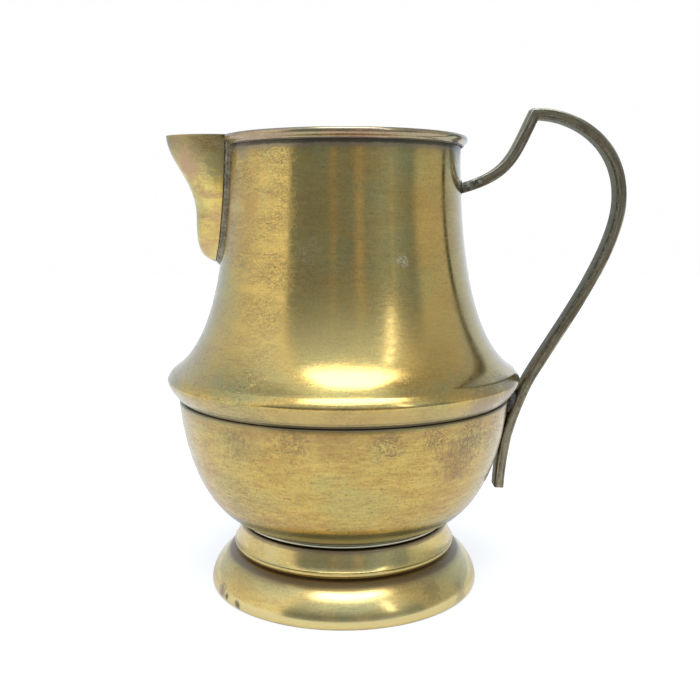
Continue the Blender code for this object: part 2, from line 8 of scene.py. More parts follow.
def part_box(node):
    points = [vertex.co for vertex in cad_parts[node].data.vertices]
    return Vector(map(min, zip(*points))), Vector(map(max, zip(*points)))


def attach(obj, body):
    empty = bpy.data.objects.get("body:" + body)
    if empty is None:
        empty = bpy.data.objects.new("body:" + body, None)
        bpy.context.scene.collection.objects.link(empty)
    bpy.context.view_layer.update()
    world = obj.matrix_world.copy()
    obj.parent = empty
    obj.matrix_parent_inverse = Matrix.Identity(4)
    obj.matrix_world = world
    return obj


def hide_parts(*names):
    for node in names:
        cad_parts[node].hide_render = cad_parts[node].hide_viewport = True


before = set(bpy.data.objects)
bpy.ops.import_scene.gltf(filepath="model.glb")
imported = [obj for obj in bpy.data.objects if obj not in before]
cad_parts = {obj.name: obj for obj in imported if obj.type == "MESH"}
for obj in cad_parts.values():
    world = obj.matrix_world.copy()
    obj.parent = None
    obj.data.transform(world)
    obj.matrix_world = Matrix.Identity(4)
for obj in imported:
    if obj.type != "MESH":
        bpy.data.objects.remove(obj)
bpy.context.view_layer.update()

mm = 0.001

# The body is turned about one upright line, a little left of the frame's middle
bowlLow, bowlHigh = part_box("bowl")
axisX = (bowlLow.x + bowlHigh.x) / 2
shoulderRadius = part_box("neck_shell")[1].y
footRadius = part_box("foot")[1].y
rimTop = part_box("rim_bead")[1].z
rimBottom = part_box("rim_bead")[0].z
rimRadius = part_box("rim_bead")[1].x - axisX

jug = {
    "sheet": 0.8 * mm,
    "footSheet": 0.9 * mm,
    "gap": 0.3 * mm,  # between two pieces that are soldered together
    "turnSteps": 160,
    "longSteps": 28,  # points along a long curve
    "shortSteps": 10,
    "edgeRound": 0.18 * mm,  # worn corners of the sheet
    "edgeSteps": 3,
    "edgeAngle": math.radians(45),
    "sharpAngle": math.radians(40),
    "same": 0.001 * mm,  # points nearer than this are one point
    "mitre": 0.5,  # keeps the corners of a shifted line from running out
    "inward": -0.05,  # a face that looks at the axis by more than this is inside
}


# Outlines, as (radius, height)

def curve(start, end, shares, steps):
    start, end = Vector(start), Vector(end)
    span = end - start
    first, second = [start + Vector((span.x * x, span.y * y)) for x, y in shares]
    return list(geometry.interpolate_bezier(start, first, second, end, steps + 1))


def chained(*lines):
    points = list(lines[0])
    for line in lines[1:]:
        points += line[1:] if (line[0] - points[-1]).length < jug["same"] else line
    return points


def shifted(points, distance):  # to the right of the way that the line runs
    moved = []
    for i, point in enumerate(points):
        before = (point - points[i - 1]).normalized() if i else None
        after = (points[i + 1] - point).normalized() if i + 1 < len(points) else None
        before, after = before or after, after or before
        along = (before + after).normalized()
        reach = distance / max(along.dot(after), jug["mitre"])
        moved.append(point + Vector((along.y, -along.x)) * reach)
    return moved


def radiusAt(points, height):
    for a, b in zip(points, points[1:]):
        if min(a.y, b.y) <= height <= max(a.y, b.y) and a.y != b.y:
            return a.x + (b.x - a.x) * (height - a.y) / (b.y - a.y)
    return min(points, key=lambda point: abs(point.y - height)).x


# Meshes

def turned(outline, half=math.pi):  # spun from -half to half round the axis
    bm = bmesh.new()
    verts = [bm.verts.new((axisX + r * math.cos(-half), r * math.sin(-half), z)) for r, z in outline]
    edges = [bm.edges.new(pair) for pair in zip(verts, verts[1:])]
    if outline[0].x > 0:  # a wall with both sides
        edges.append(bm.edges.new((verts[-1], verts[0])))
    bmesh.ops.spin(bm, geom=verts + edges, cent=(axisX, 0, 0), axis=(0, 0, 1), angle=2 * half,
                   steps=jug["turnSteps"], use_merge=half >= math.pi, use_duplicate=False)
    bmesh.ops.remove_doubles(bm, verts=bm.verts, dist=jug["same"])
    openEdges = [edge for edge in bm.edges if edge.is_boundary]
    if openEdges:
        bmesh.ops.holes_fill(bm, edges=openEdges, sides=0)
    bmesh.ops.recalc_face_normals(bm, faces=bm.faces)
    return bm


def softened(bm, width=jug["edgeRound"], angle=jug["edgeAngle"]):
    sharp = [edge for edge in bm.edges if len(edge.link_faces) == 2 and edge.calc_face_angle() > angle]
    bmesh.ops.bevel(bm, geom=sharp, offset=width, offset_type='OFFSET', segments=jug["edgeSteps"],
                    profile=0.5, affect='EDGES', clamp_overlap=True, material=-1)
    return bm


def swept(rings):  # a closed bar from rings of points
    bm = bmesh.new()
    loops = []
    for ring in rings:
        verts = [bm.verts.new(point) for point in ring]
        loops.append([bm.edges.new((verts[i - 1], verts[i])) for i in range(len(verts))])
    for first, second in zip(loops, loops[1:]):
        bmesh.ops.bridge_loops(bm, edges=first + second)
    bmesh.ops.holes_fill(bm, edges=loops[0] + loops[-1], sides=0)
    bmesh.ops.recalc_face_normals(bm, faces=bm.faces)
    return bm


def addMesh(name, bm, *materials):
    mesh = bpy.data.meshes.new(name)
    bm.to_mesh(mesh)
    bm.free()
    mesh.shade_smooth()
    mesh.set_sharp_from_angle(angle=jug["sharpAngle"])
    for material in materials:
        mesh.materials.append(material)
    made = bpy.data.objects.new(name, mesh)
    bpy.context.collection.objects.link(made)
    return made


def addPiece(name, bm, cadNode, slot, *materials):
    piece = addMesh(name, bm, *materials)
    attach(piece, "root")
    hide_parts(cadNode)
    return piece


def applied(piece):  # its modifiers become part of its mesh
    bpy.context.view_layer.update()
    seen = piece.evaluated_get(bpy.context.evaluated_depsgraph_get())
    mesh = bpy.data.meshes.new_from_object(seen)
    piece.modifiers.clear()
    piece.data = mesh
    mesh.set_sharp_from_angle(angle=jug["sharpAngle"])


def insideFaces(bm):  # second material on faces that look at the axis
    for face in bm.faces:
        way = face.calc_center_median() - Vector((axisX, 0, 0))
        outward = Vector((way.x, way.y, 0))
        if outward.length and face.normal.dot(outward.normalized()) < jug["inward"]:
            face.material_index = 1


# Node helpers

def node(tree, kind, inputs=None, **settings):
    made = tree.nodes.new("ShaderNode" + kind)
    for key, value in settings.items():
        setattr(made, key, value)
    for key, value in (inputs or {}).items():
        if isinstance(value, bpy.types.NodeSocket):
            tree.links.new(value, made.inputs[key])
        else:
            made.inputs[key].default_value = value
    return made


def maths(tree, operation, a, b=0.0, clamp=False):
    return node(tree, "Math", {0: a, 1: b}, operation=operation, use_clamp=clamp).outputs[0]


def times(tree, a, b):
    return maths(tree, 'MULTIPLY', a, b)


def plus(tree, a, b):
    return maths(tree, 'ADD', a, b)


def less(tree, a, b):
    return maths(tree, 'SUBTRACT', a, b)


def cloudy(tree, place, scale, detail, roughness=0.5, distortion=0.0):
    return node(tree, "TexNoise", {"Vector": place, "Scale": scale, "Detail": detail,
                                   "Roughness": roughness, "Distortion": distortion}).outputs[0]


def spread(tree, value, low, high, toLow=0.0, toHigh=1.0):  # a smooth step from low to high
    made = node(tree, "MapRange", {"Value": value, "From Min": low, "From Max": high,
                                   "To Min": toLow, "To Max": toHigh}, interpolation_type='SMOOTHSTEP')
    return made.outputs[0]


def between(tree, value, low, high, soft):
    return times(tree, spread(tree, value, low - soft, low + soft),
                 spread(tree, value, high + soft, high - soft))


def awayFromMiddle(tree, value):  # 0 along the lines where a noise crosses its middle value
    return maths(tree, 'ABSOLUTE', less(tree, value, 0.5))


def mixed(tree, share, a, b, blend='MIX'):
    made = node(tree, "Mix", {0: share, 6: a, 7: b}, data_type='RGBA', blend_type=blend)
    return made.outputs[2]


def grey(tree, value):
    return node(tree, "CombineColor", {0: value, 1: value, 2: value}).outputs[0]


def newGroup(name, inputs, outputs):
    group = bpy.data.node_groups.new(name, 'ShaderNodeTree')
    for label, value in inputs.items():
        kind = 'NodeSocketColor' if isinstance(value, tuple) else 'NodeSocketFloat'
        group.interface.new_socket(label, in_out='INPUT', socket_type=kind).default_value = value
    for label in outputs:
        kind = 'NodeSocketColor' if label == "Color" else 'NodeSocketFloat'
        group.interface.new_socket(label, in_out='OUTPUT', socket_type=kind)
    return group, group.nodes.new("NodeGroupInput").outputs, group.nodes.new("NodeGroupOutput").inputs


def newMetal(name):
    material = bpy.data.materials.new(name)
    material.use_nodes = True
    tree = material.node_tree
    sockets = tree.nodes["Principled BSDF"].inputs
    sockets["Metallic"].default_value = 1.0
    return material, tree, sockets


def finished(tree, sockets, color, rough, height, depth):  # depth of the relief in mm
    bump = node(tree, "Bump", {"Strength": 1.0, "Distance": depth * mm, "Height": height})
    for label, value in (("Base Color", color), ("Roughness", rough), ("Normal", bump.outputs[0])):
        tree.links.new(value, sockets[label])


def objectPlace(tree):
    return node(tree, "TexCoord").outputs["Object"]


def axisPlace(tree, scale=(1, 1, 1)):  # object coordinates with the jug's axis at zero
    return node(tree, "Mapping", {"Vector": objectPlace(tree), "Location": (-axisX * scale[0], 0, 0),
                                  "Scale": scale}).outputs[0]


# Neck, shoulder and the band that is tucked in under it

neck = {
    "radius": 30.7 * mm,
    "edgeDrop": 0.4 * mm,  # the sheet's edge lies this far under the rim
    "flareEnd": (45.9 * mm, 59.4 * mm),
    "shoulderHeight": 57.1 * mm,
    "lip": (44.5 * mm, 52.5 * mm),
    "flareShares": ((0.0, 0.46), (0.257, 0.88)),
    "shoulderShares": ((0.37, 0.275), (1.0, 0.72)),
    "tuckShares": ((0.0, 0.21), (0.55, 0.72)),
}


def neckOutline():
    under = (neck["radius"], rimBottom)
    widest = (shoulderRadius, neck["shoulderHeight"])
    flare = curve(under, neck["flareEnd"], neck["flareShares"], jug["longSteps"] + jug["shortSteps"])
    shoulder = curve(neck["flareEnd"], widest, neck["shoulderShares"], jug["shortSteps"])
    tuck = curve(widest, neck["lip"], neck["tuckShares"], jug["shortSteps"])
    return chained([Vector((neck["radius"], rimTop - neck["edgeDrop"]))], flare, shoulder, tuck)


neckLine = neckOutline()
neckInside = shifted(neckLine, jug["sheet"])


def addNeckShell(outside, inside, cutter):
    bm = softened(turned(neckLine + neckInside[::-1]))
    insideFaces(bm)
    piece = addPiece("neckShell", bm, "neck_shell", "aged_brass", outside, inside)
    hole = piece.modifiers.new("pouringHole", 'BOOLEAN')
    hole.object = cutter
    hole.solver = 'EXACT'
    applied(piece)
    bpy.data.objects.remove(cutter)
    seamDistance(piece.data)


def seamDistance(mesh):  # from the solder seam, kept on the neck for the tarnish beside it
    line = seamLine(0)
    layer = mesh.attributes.new("seamAway", 'FLOAT', 'POINT')
    for vert, value in zip(mesh.vertices, layer.data):
        x, y, z = vert.co
        flat = Vector((math.atan2(y, axisX - x) * radiusAt(neckLine, z), z))
        value.value = min(flatDistance(flat, a, b) for a, b in zip(line, line[1:]))


def flatDistance(point, a, b):  # from a point to the line between two others
    share = min(max((point - a).dot(b - a) / (b - a).length_squared, 0), 1)
    return (point - a.lerp(b, share)).length


# Bead round the rim, with a small lip at its lower edge

rim = {
    # its outline, as shares of its depth and height
    "bead": ((0.0, 0.03), (0.10, 0.0), (0.26, 0.01), (0.34, 0.07), (0.30, 0.13), (0.33, 0.17),
             (0.62, 0.30), (0.84, 0.42), (0.96, 0.54), (1.0, 0.66), (0.97, 0.79), (0.88, 0.90),
             (0.72, 0.98), (0.55, 1.0), (0.25, 0.99), (0.0, 0.88)),
    "mouthHalf": 11.8 * mm,  # half the gap that the spout takes
    "endGap": 0.35 * mm,  # between its end and the spout
    "edgeAngle": math.radians(60),
}


def addRimBead(material):
    inside = neck["radius"] + jug["gap"]
    depth = rimTop - rimBottom
    outline = [Vector((inside + (rimRadius - inside) * x, rimBottom + depth * y)) for x, y in rim["bead"]]
    half = math.pi - math.asin(rim["mouthHalf"] / neck["radius"]) - rim["endGap"] / neck["radius"]
    bm = softened(turned(outline, half), angle=rim["edgeAngle"])
    addPiece("rimBead", bm, "rim_bead", "aged_brass", material)


# Bowl

bowl = {
    "topInset": 0.2 * mm,  # narrower than the band's lip
    "top": 51.2 * mm,
    "lipTop": 54.6 * mm,
    "groove": 0.7 * mm,
    "base": (28.0 * mm, 18.4 * mm),
    "flatRadius": 24.0 * mm,
    "wallShares": ((0.063, 0.385), (0.329, 0.875)),
    "underShares": ((0.375, 0.51), (0.7, 1.0)),
    "edgeShares": ((0.45, 0.0), (1.0, 0.4)),
    "bead": 0.22 * mm,  # round bead where the bowl meets the foot
    "beadTall": 1.5,  # times as tall as it stands out
    "beadTurns": (1.2, 0.7, 0.2, -0.3, -0.8, -1.3),
}
bowlBottom = bowlLow.z
bowlTop = (neck["lip"][0] - bowl["topInset"], bowl["top"])
bowlLip = neckInside[-1].x - jug["gap"]


def bowlOutline():
    edgeTop = Vector((bowlLip, bowl["top"] + bowl["groove"]))
    edge = curve(edgeTop, bowlTop, bowl["edgeShares"], jug["shortSteps"])
    wall = curve(bowlTop, bowl["base"], bowl["wallShares"], jug["longSteps"])
    under = curve(bowl["base"], (bowl["flatRadius"], bowlBottom), bowl["underShares"], jug["shortSteps"])
    tall = bowl["bead"] * bowl["beadTall"]
    bead = [wall[-1] + Vector((bowl["bead"] * math.cos(turn), tall * (math.sin(turn) - 1)))
            for turn in bowl["beadTurns"]]
    beyond = under[2:]  # its first points lie inside the bead
    return chained([Vector((bowlLip, bowl["lipTop"]))], edge, wall, bead, beyond)


bowlLine = bowlOutline()


def addBowl(outside, inside):
    wall = shifted(curve(bowlTop, bowl["base"], bowl["wallShares"], jug["longSteps"]), jug["sheet"])
    lipInside = bowlLip - jug["sheet"]
    floor = bowlBottom + jug["sheet"]
    inner = [Vector((lipInside, bowl["lipTop"])), Vector((lipInside, bowl["top"] + bowl["groove"]))]
    turn = curve(wall[-1], (bowl["flatRadius"], floor), bowl["underShares"], jug["shortSteps"])
    inner = chained(inner, wall, turn, [Vector((0, floor))])
    bm = softened(turned(inner[::-1] + bowlLine + [Vector((0, bowlBottom))]))
    insideFaces(bm)
    addPiece("bowlShell", bm, "bowl", "mottled_brass", outside, inside)


# Foot: ledge, collar with its ridge, groove, lower roll and the ring on the table

foot = {
    "ledge": (27.6 * mm, 17.35 * mm),
    "ledgeHole": 21.0 * mm,
    "collar": (28.45 * mm, 16.7 * mm),
    "ridge": (30.3 * mm, 11.9 * mm),
    "groove": (28.9 * mm, 10.3 * mm),
    "roll": (29.6 * mm, 9.9 * mm),
    "edgeHeight": 1.2 * mm,
    "undercut": 0.7 * mm,
    "baseWidth": 2.0 * mm,
    "edgeShares": ((0.6, 0.0), (1.0, 0.5)),
    "rollShares": ((0.0, 0.434), (0.72, 0.99)),
    "ridgeShares": ((0.5, 0.0), (1.0, 0.22)),
    "collarShares": ((0.34, 0.02), (0.60, 0.32)),
    "ledgeShares": ((0.05, 0.6), (0.5, 1.0)),
    "edgeAngle": math.radians(50),
}


def footOutline():
    widest = (footRadius, foot["edgeHeight"])
    edge = curve((footRadius - foot["undercut"], 0), widest, foot["edgeShares"], jug["shortSteps"])
    roll = curve(widest, foot["roll"], foot["rollShares"], jug["longSteps"])
    under = curve(foot["groove"], foot["ridge"], foot["ridgeShares"], jug["shortSteps"])
    side = curve(foot["ridge"], foot["collar"], foot["collarShares"], jug["shortSteps"])
    top = curve(foot["collar"], foot["ledge"], foot["ledgeShares"], jug["shortSteps"])
    return chained(edge, roll, [roll[-1], Vector(foot["groove"])], under, side, top)


def footInside():
    ledgeUnder = foot["ledge"][1] - jug["footSheet"]
    waist = foot["groove"][0] - jug["footSheet"]
    ring = footRadius - foot["undercut"] - foot["baseWidth"]
    back = tuple((1 - x, 1 - y) for x, y in reversed(foot["rollShares"]))
    roll = curve(foot["roll"], (footRadius, foot["edgeHeight"]), back, jug["longSteps"])
    top = [(foot["ledgeHole"], foot["ledge"][1]), (foot["ledgeHole"], ledgeUnder),
           (foot["ledge"][0] - jug["footSheet"], ledgeUnder), (waist, foot["ridge"][1]),
           (waist, foot["roll"][1])]
    low = [(ring, jug["footSheet"]), (ring, 0)]
    return [Vector(p) for p in top] + shifted(roll, jug["footSheet"]) + [Vector(p) for p in low]


def addFoot(outside, inside):
    bm = softened(turned(footOutline() + footInside()), angle=foot["edgeAngle"])
    insideFaces(bm)
    addPiece("footShell", bm, "foot", "foot_brass", outside, inside)


# Spout: one bent sheet with a round keel and a round lower end

spout = {
    "tip": (46.7 * mm, 120.5 * mm),
    "waist": (39.15 * mm, 98.0 * mm),
    "end": 87.6 * mm,  # height of its lowest point
    "lowHalf": 7.4 * mm,  # half its width over the round end
    "roundHeight": 6.0 * mm,
    "widen": 1.3,
    "keelShares": ((-0.10, 0.479), (0.916, 0.654)),
    "endShares": ((0.887, 0.114), (0.995, 0.412)),
    "keelRound": 0.42,
    "sideLow": 0.62,  # how far its side turns to the front, low down and at the top
    "sideTop": 0.88,
    "sideReach": 0.5,
    "edgeAngle": math.radians(50),
    "levels": 24,  # rows on each half of the keel
    "across": 16,
    "standoff": 1.25 * mm,  # between its edge and the neck
    "holeInset": 1.6 * mm,
    "overrun": 4.0 * mm,
}


def spoutHalf(height):
    share = max((height - spout["end"]) / (rimTop - spout["end"]), 0)
    wide = spout["lowHalf"] + (rim["mouthHalf"] - spout["lowHalf"]) * share ** spout["widen"]
    low = min(max(height - spout["end"], 0) / spout["roundHeight"], 1)
    return wide * math.sqrt(1 - (1 - low) ** 2)


def spoutSection(keel):  # from one edge round the keel to the other
    share = (keel.y - spout["end"]) / (spout["tip"][1] - spout["end"])
    backHeight = spout["end"] + (rimTop - spout["end"]) * share
    half = spoutHalf(backHeight)
    back = math.sqrt((radiusAt(neckLine, backHeight) + spout["standoff"]) ** 2 - half ** 2)
    side = []
    wide = spout["sideLow"] + (spout["sideTop"] - spout["sideLow"]) * share ** 2
    shares = (0.0, spout["keelRound"]), (spout["sideReach"], wide)
    for reach, across in curve((keel.x, 0), (back, half), shares, spout["across"]):
        forward = (reach - back) / max(keel.x - back, jug["gap"])
        side.append(Vector((axisX - reach, across, backHeight + (keel.y - backHeight) * forward)))
    mirrored = [Vector((p.x, -p.y, p.z)) for p in side[1:]]
    return mirrored[::-1] + side


def addSpout(outside, inside):
    bottom = (radiusAt(neckLine, spout["end"]) + spout["standoff"], spout["end"])
    keel = chained(curve(bottom, spout["waist"], spout["endShares"], spout["levels"]),
                   curve(spout["waist"], spout["tip"], spout["keelShares"], spout["levels"]))
    bm = bmesh.new()
    end = bm.verts.new((axisX - keel[0].x, 0, keel[0].y))
    rows = []
    for point in keel[1:]:
        verts = [bm.verts.new(place) for place in spoutSection(point)]
        rows.append([bm.edges.new(pair) for pair in zip(verts, verts[1:])])
    for edge in rows[0]:
        bm.faces.new((*edge.verts, end))
    for first, second in zip(rows, rows[1:]):
        bmesh.ops.bridge_loops(bm, edges=first + second)
    bmesh.ops.recalc_face_normals(bm, faces=bm.faces)
    front = min(bm.faces, key=lambda face: face.calc_center_median().x)
    if front.normal.x > 0:
        bmesh.ops.reverse_faces(bm, faces=bm.faces)
    piece = addPiece("spoutSheet", bm, "spout", "spout_brass", outside, inside)
    wall = piece.modifiers.new("sheet", 'SOLIDIFY')
    wall.thickness = jug["sheet"]
    wall.offset = -1.0  # inwards
    wall.use_even_offset = True
    wall.material_offset = 1
    edge = piece.modifiers.new("wornEdges", 'BEVEL')
    edge.width = jug["edgeRound"]
    edge.segments = jug["edgeSteps"]
    edge.limit_method = 'ANGLE'
    edge.angle_limit = spout["edgeAngle"]
    applied(piece)


def onNeck(arc, height, lift):  # a place on the neck, measured round it from the spout's middle
    radius = radiusAt(neckLine, height)
    turn = arc / radius
    return Vector((axisX - (radius + lift) * math.cos(turn), (radius + lift) * math.sin(turn), height))


def seamLine(inset):  # the spout's edge rolled flat, as (arc length, height)
    half = []
    top = rimTop - neck["edgeDrop"]
    for i in range(2 * spout["levels"] + 1):
        rise = 1 - math.cos(math.pi / 4 * i / spout["levels"])  # closer together at the low end
        height = spout["end"] + (top - spout["end"]) * rise
        radius = radiusAt(neckLine, height)
        half.append(Vector((radius * math.asin(spoutHalf(height) / radius), height)))
    return shifted([Vector((-p.x, p.y)) for p in half[::-1]] + half[1:], -inset)


def pouringCutter():
    line = seamLine(spout["holeInset"])
    high = rimTop + spout["overrun"]
    line = [Vector((line[0].x, high))] + line + [Vector((line[-1].x, high))]
    depths = (neck["radius"] / 2, shoulderRadius)
    bm = swept([[Vector((axisX - depth, p.x, p.y)) for p in line] for depth in depths])
    return addMesh("pouringCutter", bm)


seam = {
    # a fillet, as (outwards from the spout's edge, lift off the neck) in mm
    "section": ((-0.75, -0.15), (-0.80, 0.50), (-0.70, 1.00), (-0.30, 1.10), (-0.04, 0.60), (0.14, 0.95),
                (0.34, 0.86), (0.56, 0.56), (0.80, 0.28), (1.04, 0.08), (1.20, -0.15)),
    "wobble": 0.16,  # how far the solder's surface wanders, as a share of its size
    "wobbleScale": 1100,
    "step": 0.35 * mm,
    # tarnish on the neck beside it
    "tarnish": (0.34, 0.31, 0.20),
    "tarnishFrom": 2.1 * mm,
    "tarnishTo": 3.6 * mm,
    "tarnishShare": 0.85,
    "ragged": 1.0 * mm,
    "raggedNoise": (700.0, 4.0),
}


def addSpoutSeam(material):
    path = seamLine(0)
    dense = []
    for a, b in zip(path, path[1:]):
        steps = max(1, round((b - a).length / seam["step"]))
        dense += [a.lerp(b, i / steps) for i in range(steps)]
    dense.append(path[-1])
    rings = []
    for i, point in enumerate(dense):
        way = (dense[min(i + 1, len(dense) - 1)] - dense[max(i - 1, 0)]).normalized()
        side = Vector((way.y, -way.x))
        ring = []
        for out, lift in seam["section"]:
            flat = point + side * out * mm
            wander = noise.noise(Vector((flat.x, flat.y, 0)) * seam["wobbleScale"])
            ring.append(onNeck(flat.x, flat.y, lift * mm * (1 + seam["wobble"] * wander)))
        rings.append(ring)
    addPiece("spoutSeam", swept(rings), "spout_solder", "tarnished_solder", material)


# Handle: a flat bar with a sharp bend at the top

handle = {
    "thick": 2.7 * mm,
    "wide": 5.6 * mm,
    "corner": 0.55 * mm,
    "cornerSteps": 4,
    "neckHeight": 107.3 * mm,
    "pad": 0.4 * mm,
    "reachBack": 1.15 * mm,  # from the curve's start to the neck
    "startSlope": 0.29,
    "apex": (49.9 * mm, 126.06 * mm),
    "widest": (73.2 * mm, 103.7 * mm),
    "kneeStandoff": 3.95 * mm,
    "kneeRise": 0.4 * mm,
    "seatHeight": 40.5 * mm,
    "seatGap": 0.6 * mm,
    "tailTuck": 1.85 * mm,
    "tailLength": 14.8 * mm,
    "riseShares": ((0.664, 0.188), (0.71, 0.425)),
    "archShares": ((0.397, -0.027), (1.013, 0.272)),
    "runShares": ((0.014, 0.298), (0.678, 0.735)),
    "kneeShares": ((0.296, 0.191), (0.706, 0.572)),
    "tailShares": ((0.532, 0.326), (0.925, 0.675)),
    "edgeAngle": math.radians(60),
}


def handlePath():
    back, height = handle["reachBack"], handle["neckHeight"]
    start = (radiusAt(neckLine, height) + handle["pad"] + 3 * jug["gap"], height)
    end = Vector((start[0] - back, start[1] - back * handle["startSlope"]))
    knee = (shoulderRadius + handle["kneeStandoff"], neck["shoulderHeight"] + handle["kneeRise"])
    seat = (radiusAt(bowlLine, handle["seatHeight"]) + handle["seatGap"] + handle["thick"] / 2,
            handle["seatHeight"])
    tail = (seat[0] - handle["tailTuck"], seat[1] - handle["tailLength"])
    steps = jug["longSteps"]
    stops = (start, handle["apex"], handle["widest"], knee, seat, tail)
    parts = (("rise", steps), ("arch", steps), ("run", steps), ("knee", steps // 2), ("tail", steps // 2))
    return chained([end], *[curve(a, b, handle[name + "Shares"], count)
                            for a, b, (name, count) in zip(stops, stops[1:], parts)])


def barSection():  # rounded corners, as (towards the neck, along the width)
    flat, wide = handle["thick"] / 2, handle["wide"] / 2
    corner, steps = handle["corner"], handle["cornerSteps"]
    points = []
    for k, (x, y) in enumerate(((1, 1), (-1, 1), (-1, -1), (1, -1))):
        for i in range(steps + 1):
            turn = math.pi / 2 * (k + i / steps)
            points.append((x * (flat - corner) + corner * math.cos(turn),
                           y * (wide - corner) + corner * math.sin(turn)))
    return points


def barPlaces(bm, path):  # each point of the bar as (depth, across, distance along it)
    along = [0.0]
    for a, b in zip(path, path[1:]):
        along.append(along[-1] + (b - a).length)
    layer = bm.verts.layers.float_vector.new("barPlace")
    for vert in bm.verts:
        flat = Vector((vert.co.x - axisX, vert.co.z))
        i = min(range(len(path)), key=lambda k: (path[k] - flat).length_squared)
        way = (path[min(i + 1, len(path) - 1)] - path[max(i - 1, 0)]).normalized()
        out = flat - path[i]
        vert[layer] = (out.dot(Vector((way.y, -way.x))), vert.co.y, along[i] + out.dot(way))


def addHandle(material):
    path = handlePath()
    section = barSection()
    lines = [shifted(path, depth) for depth, across in section]
    rings = [[Vector((axisX + line[i].x, point[1], line[i].y)) for line, point in zip(lines, section)]
             for i in range(len(path))]
    bm = softened(swept(rings), handle["corner"] / 2, handle["edgeAngle"])
    barPlaces(bm, path)
    addPiece("handleBar", bm, "handle", "dark_brown_brass", material)


# Solder rings and pads

solder = {
    "seamHeight": 1.0 * mm,
    "creaseInset": 0.1 * mm,
    "creaseWidth": 1.5 * mm,
    "creaseSlack": 0.05 * mm,
    "padPower": 0.75,  # under 1 makes a pad squarer
    "padWobble": 0.10,
    "padWobbleScale": 2.3,
    "padSegments": (32, 20),
    # CAD node, height, half its height, thickness, half its width in degrees, lift off the body
    "pads": {
        "neckPad": ("handle_neck_solder", 107.3 * mm, 2.0 * mm, 0.9 * mm, 6.0, -0.35 * mm),
        "shoulderPad": ("handle_shoulder_solder", 51.2 * mm, 5.6 * mm, 3.9 * mm, 3.5, -0.3 * mm),
        "tailPad": ("handle_tail_solder", 41.5 * mm, 6.8 * mm, 0.9 * mm, 3.6, -0.05 * mm),
    },
}


def addBodySolder(material):
    inside, top = bowlLip + jug["gap"], bowl["lipTop"]
    low = top - solder["seamHeight"]
    reachTop = radiusAt(neckInside, top) - 2 * jug["gap"]
    reachLow = max(radiusAt(neckInside, low) - 2 * jug["gap"], inside + jug["gap"])
    outline = [Vector(p) for p in ((inside, low), (reachLow, low), (reachTop, top), (inside, top))]
    bm = softened(turned(outline), jug["gap"] / 2)
    addPiece("bodySolder", bm, "body_solder", "tarnished_solder", material)


def addFootSolder(material):
    outside = foot["ledge"][0] - solder["creaseInset"]
    inside = outside - solder["creaseWidth"]
    low = foot["ledge"][1] + jug["gap"]
    roof = [p for p in bowlLine if p.x < bowl["base"][0] + jug["gap"]]
    outline = [Vector((inside, low)), Vector((outside, low))]
    for i in range(jug["shortSteps"] + 1):
        radius = outside + (inside - outside) * i / jug["shortSteps"]
        high = min(roof, key=lambda p: abs(p.x - radius)).y - jug["gap"]
        outline.append(Vector((radius, max(high, low + solder["creaseSlack"]))))
    addPiece("footSolder", turned(outline), "foot_solder", "tarnished_solder", material)


def addPads(material):
    for name, (cadNode, middle, halfHeight, thick, halfTurn, lift) in solder["pads"].items():
        line = neckLine if middle > bowl["lipTop"] else bowlLine
        bm = bmesh.new()
        across, rows = solder["padSegments"]
        bmesh.ops.create_uvsphere(bm, u_segments=across, v_segments=rows, radius=1)
        for vert in bm.verts:
            spot = vert.co * solder["padWobbleScale"] + Vector((middle / mm, 0, 0))
            wander = 1 - solder["padWobble"] * abs(noise.noise(spot))
            u, v = [math.copysign(abs(part) ** solder["padPower"], part) * wander
                    for part in (vert.co.x, vert.co.z)]
            height = middle + halfHeight * v
            reach = radiusAt(line, height) + lift + thick * (0.5 + 0.5 * vert.co.y)
            turn = math.radians(halfTurn) * u
            vert.co = (axisX + reach * math.cos(turn), reach * math.sin(turn), height)
        bmesh.ops.recalc_face_normals(bm, faces=bm.faces)
        addPiece(name, bm, cadNode, "tarnished_solder", material)


# Shared effects. A noise is (scale per metre, detail, roughness, distortion)

turning = {
    "fine": (480, 480, 3800),  # far closer together along the height
    "wide": (150, 150, 1500),
    "fineShare": 0.55,
    "detail": 3.0,
}


def addTurnedMarks():  # short level lines left by the lathe and by years of polishing
    group, given, out = newGroup("turnedMarks", {"Fineness": 1.0}, ("Height",))
    fine, wide = [cloudy(group, axisPlace(group, turning[key]), given["Fineness"], turning["detail"])
                  for key in ("fine", "wide")]
    share = turning["fineShare"]
    both = plus(group, times(group, fine, share), times(group, wide, 1 - share))
    group.links.new(both, out["Height"])
    return group


creasing = {
    "radius": 35 * mm,  # turns an angle round the jug into a length
    "slant": -0.6,
    "stretch": (430, 1150, 1),
    "noise": (4.0, 0.6, 1.6),  # its scale is the group's own input
    "width": 0.055,
    "side": (1.9, 2.1, 0.12, 1.0),  # angles from the handle, and how strong at the first and the second
}


def addWrinkles():  # fine slanting creases, as in worn lacquer, most by the spout
    group, given, out = newGroup("wrinkles", {"Size": 1.0}, ("Mask",))
    place = node(group, "SeparateXYZ", {0: axisPlace(group)}).outputs
    turn = maths(group, 'ARCTAN2', place["Y"], place["X"])
    along = times(group, turn, creasing["radius"])
    flat = node(group, "CombineXYZ", {0: along, 1: place["Z"]}).outputs[0]
    slanted = node(group, "Mapping", {"Vector": flat, "Rotation": (0, 0, creasing["slant"]),
                                      "Scale": creasing["stretch"]}).outputs[0]
    ridge = awayFromMiddle(group, cloudy(group, slanted, given["Size"], *creasing["noise"]))
    side = spread(group, maths(group, 'ABSOLUTE', turn), *creasing["side"])
    mask = times(group, spread(group, ridge, creasing["width"], 0.0), side)
    group.links.new(mask, out["Mask"])
    return group


bandEdge = (420.0, 5.0, 0.65)


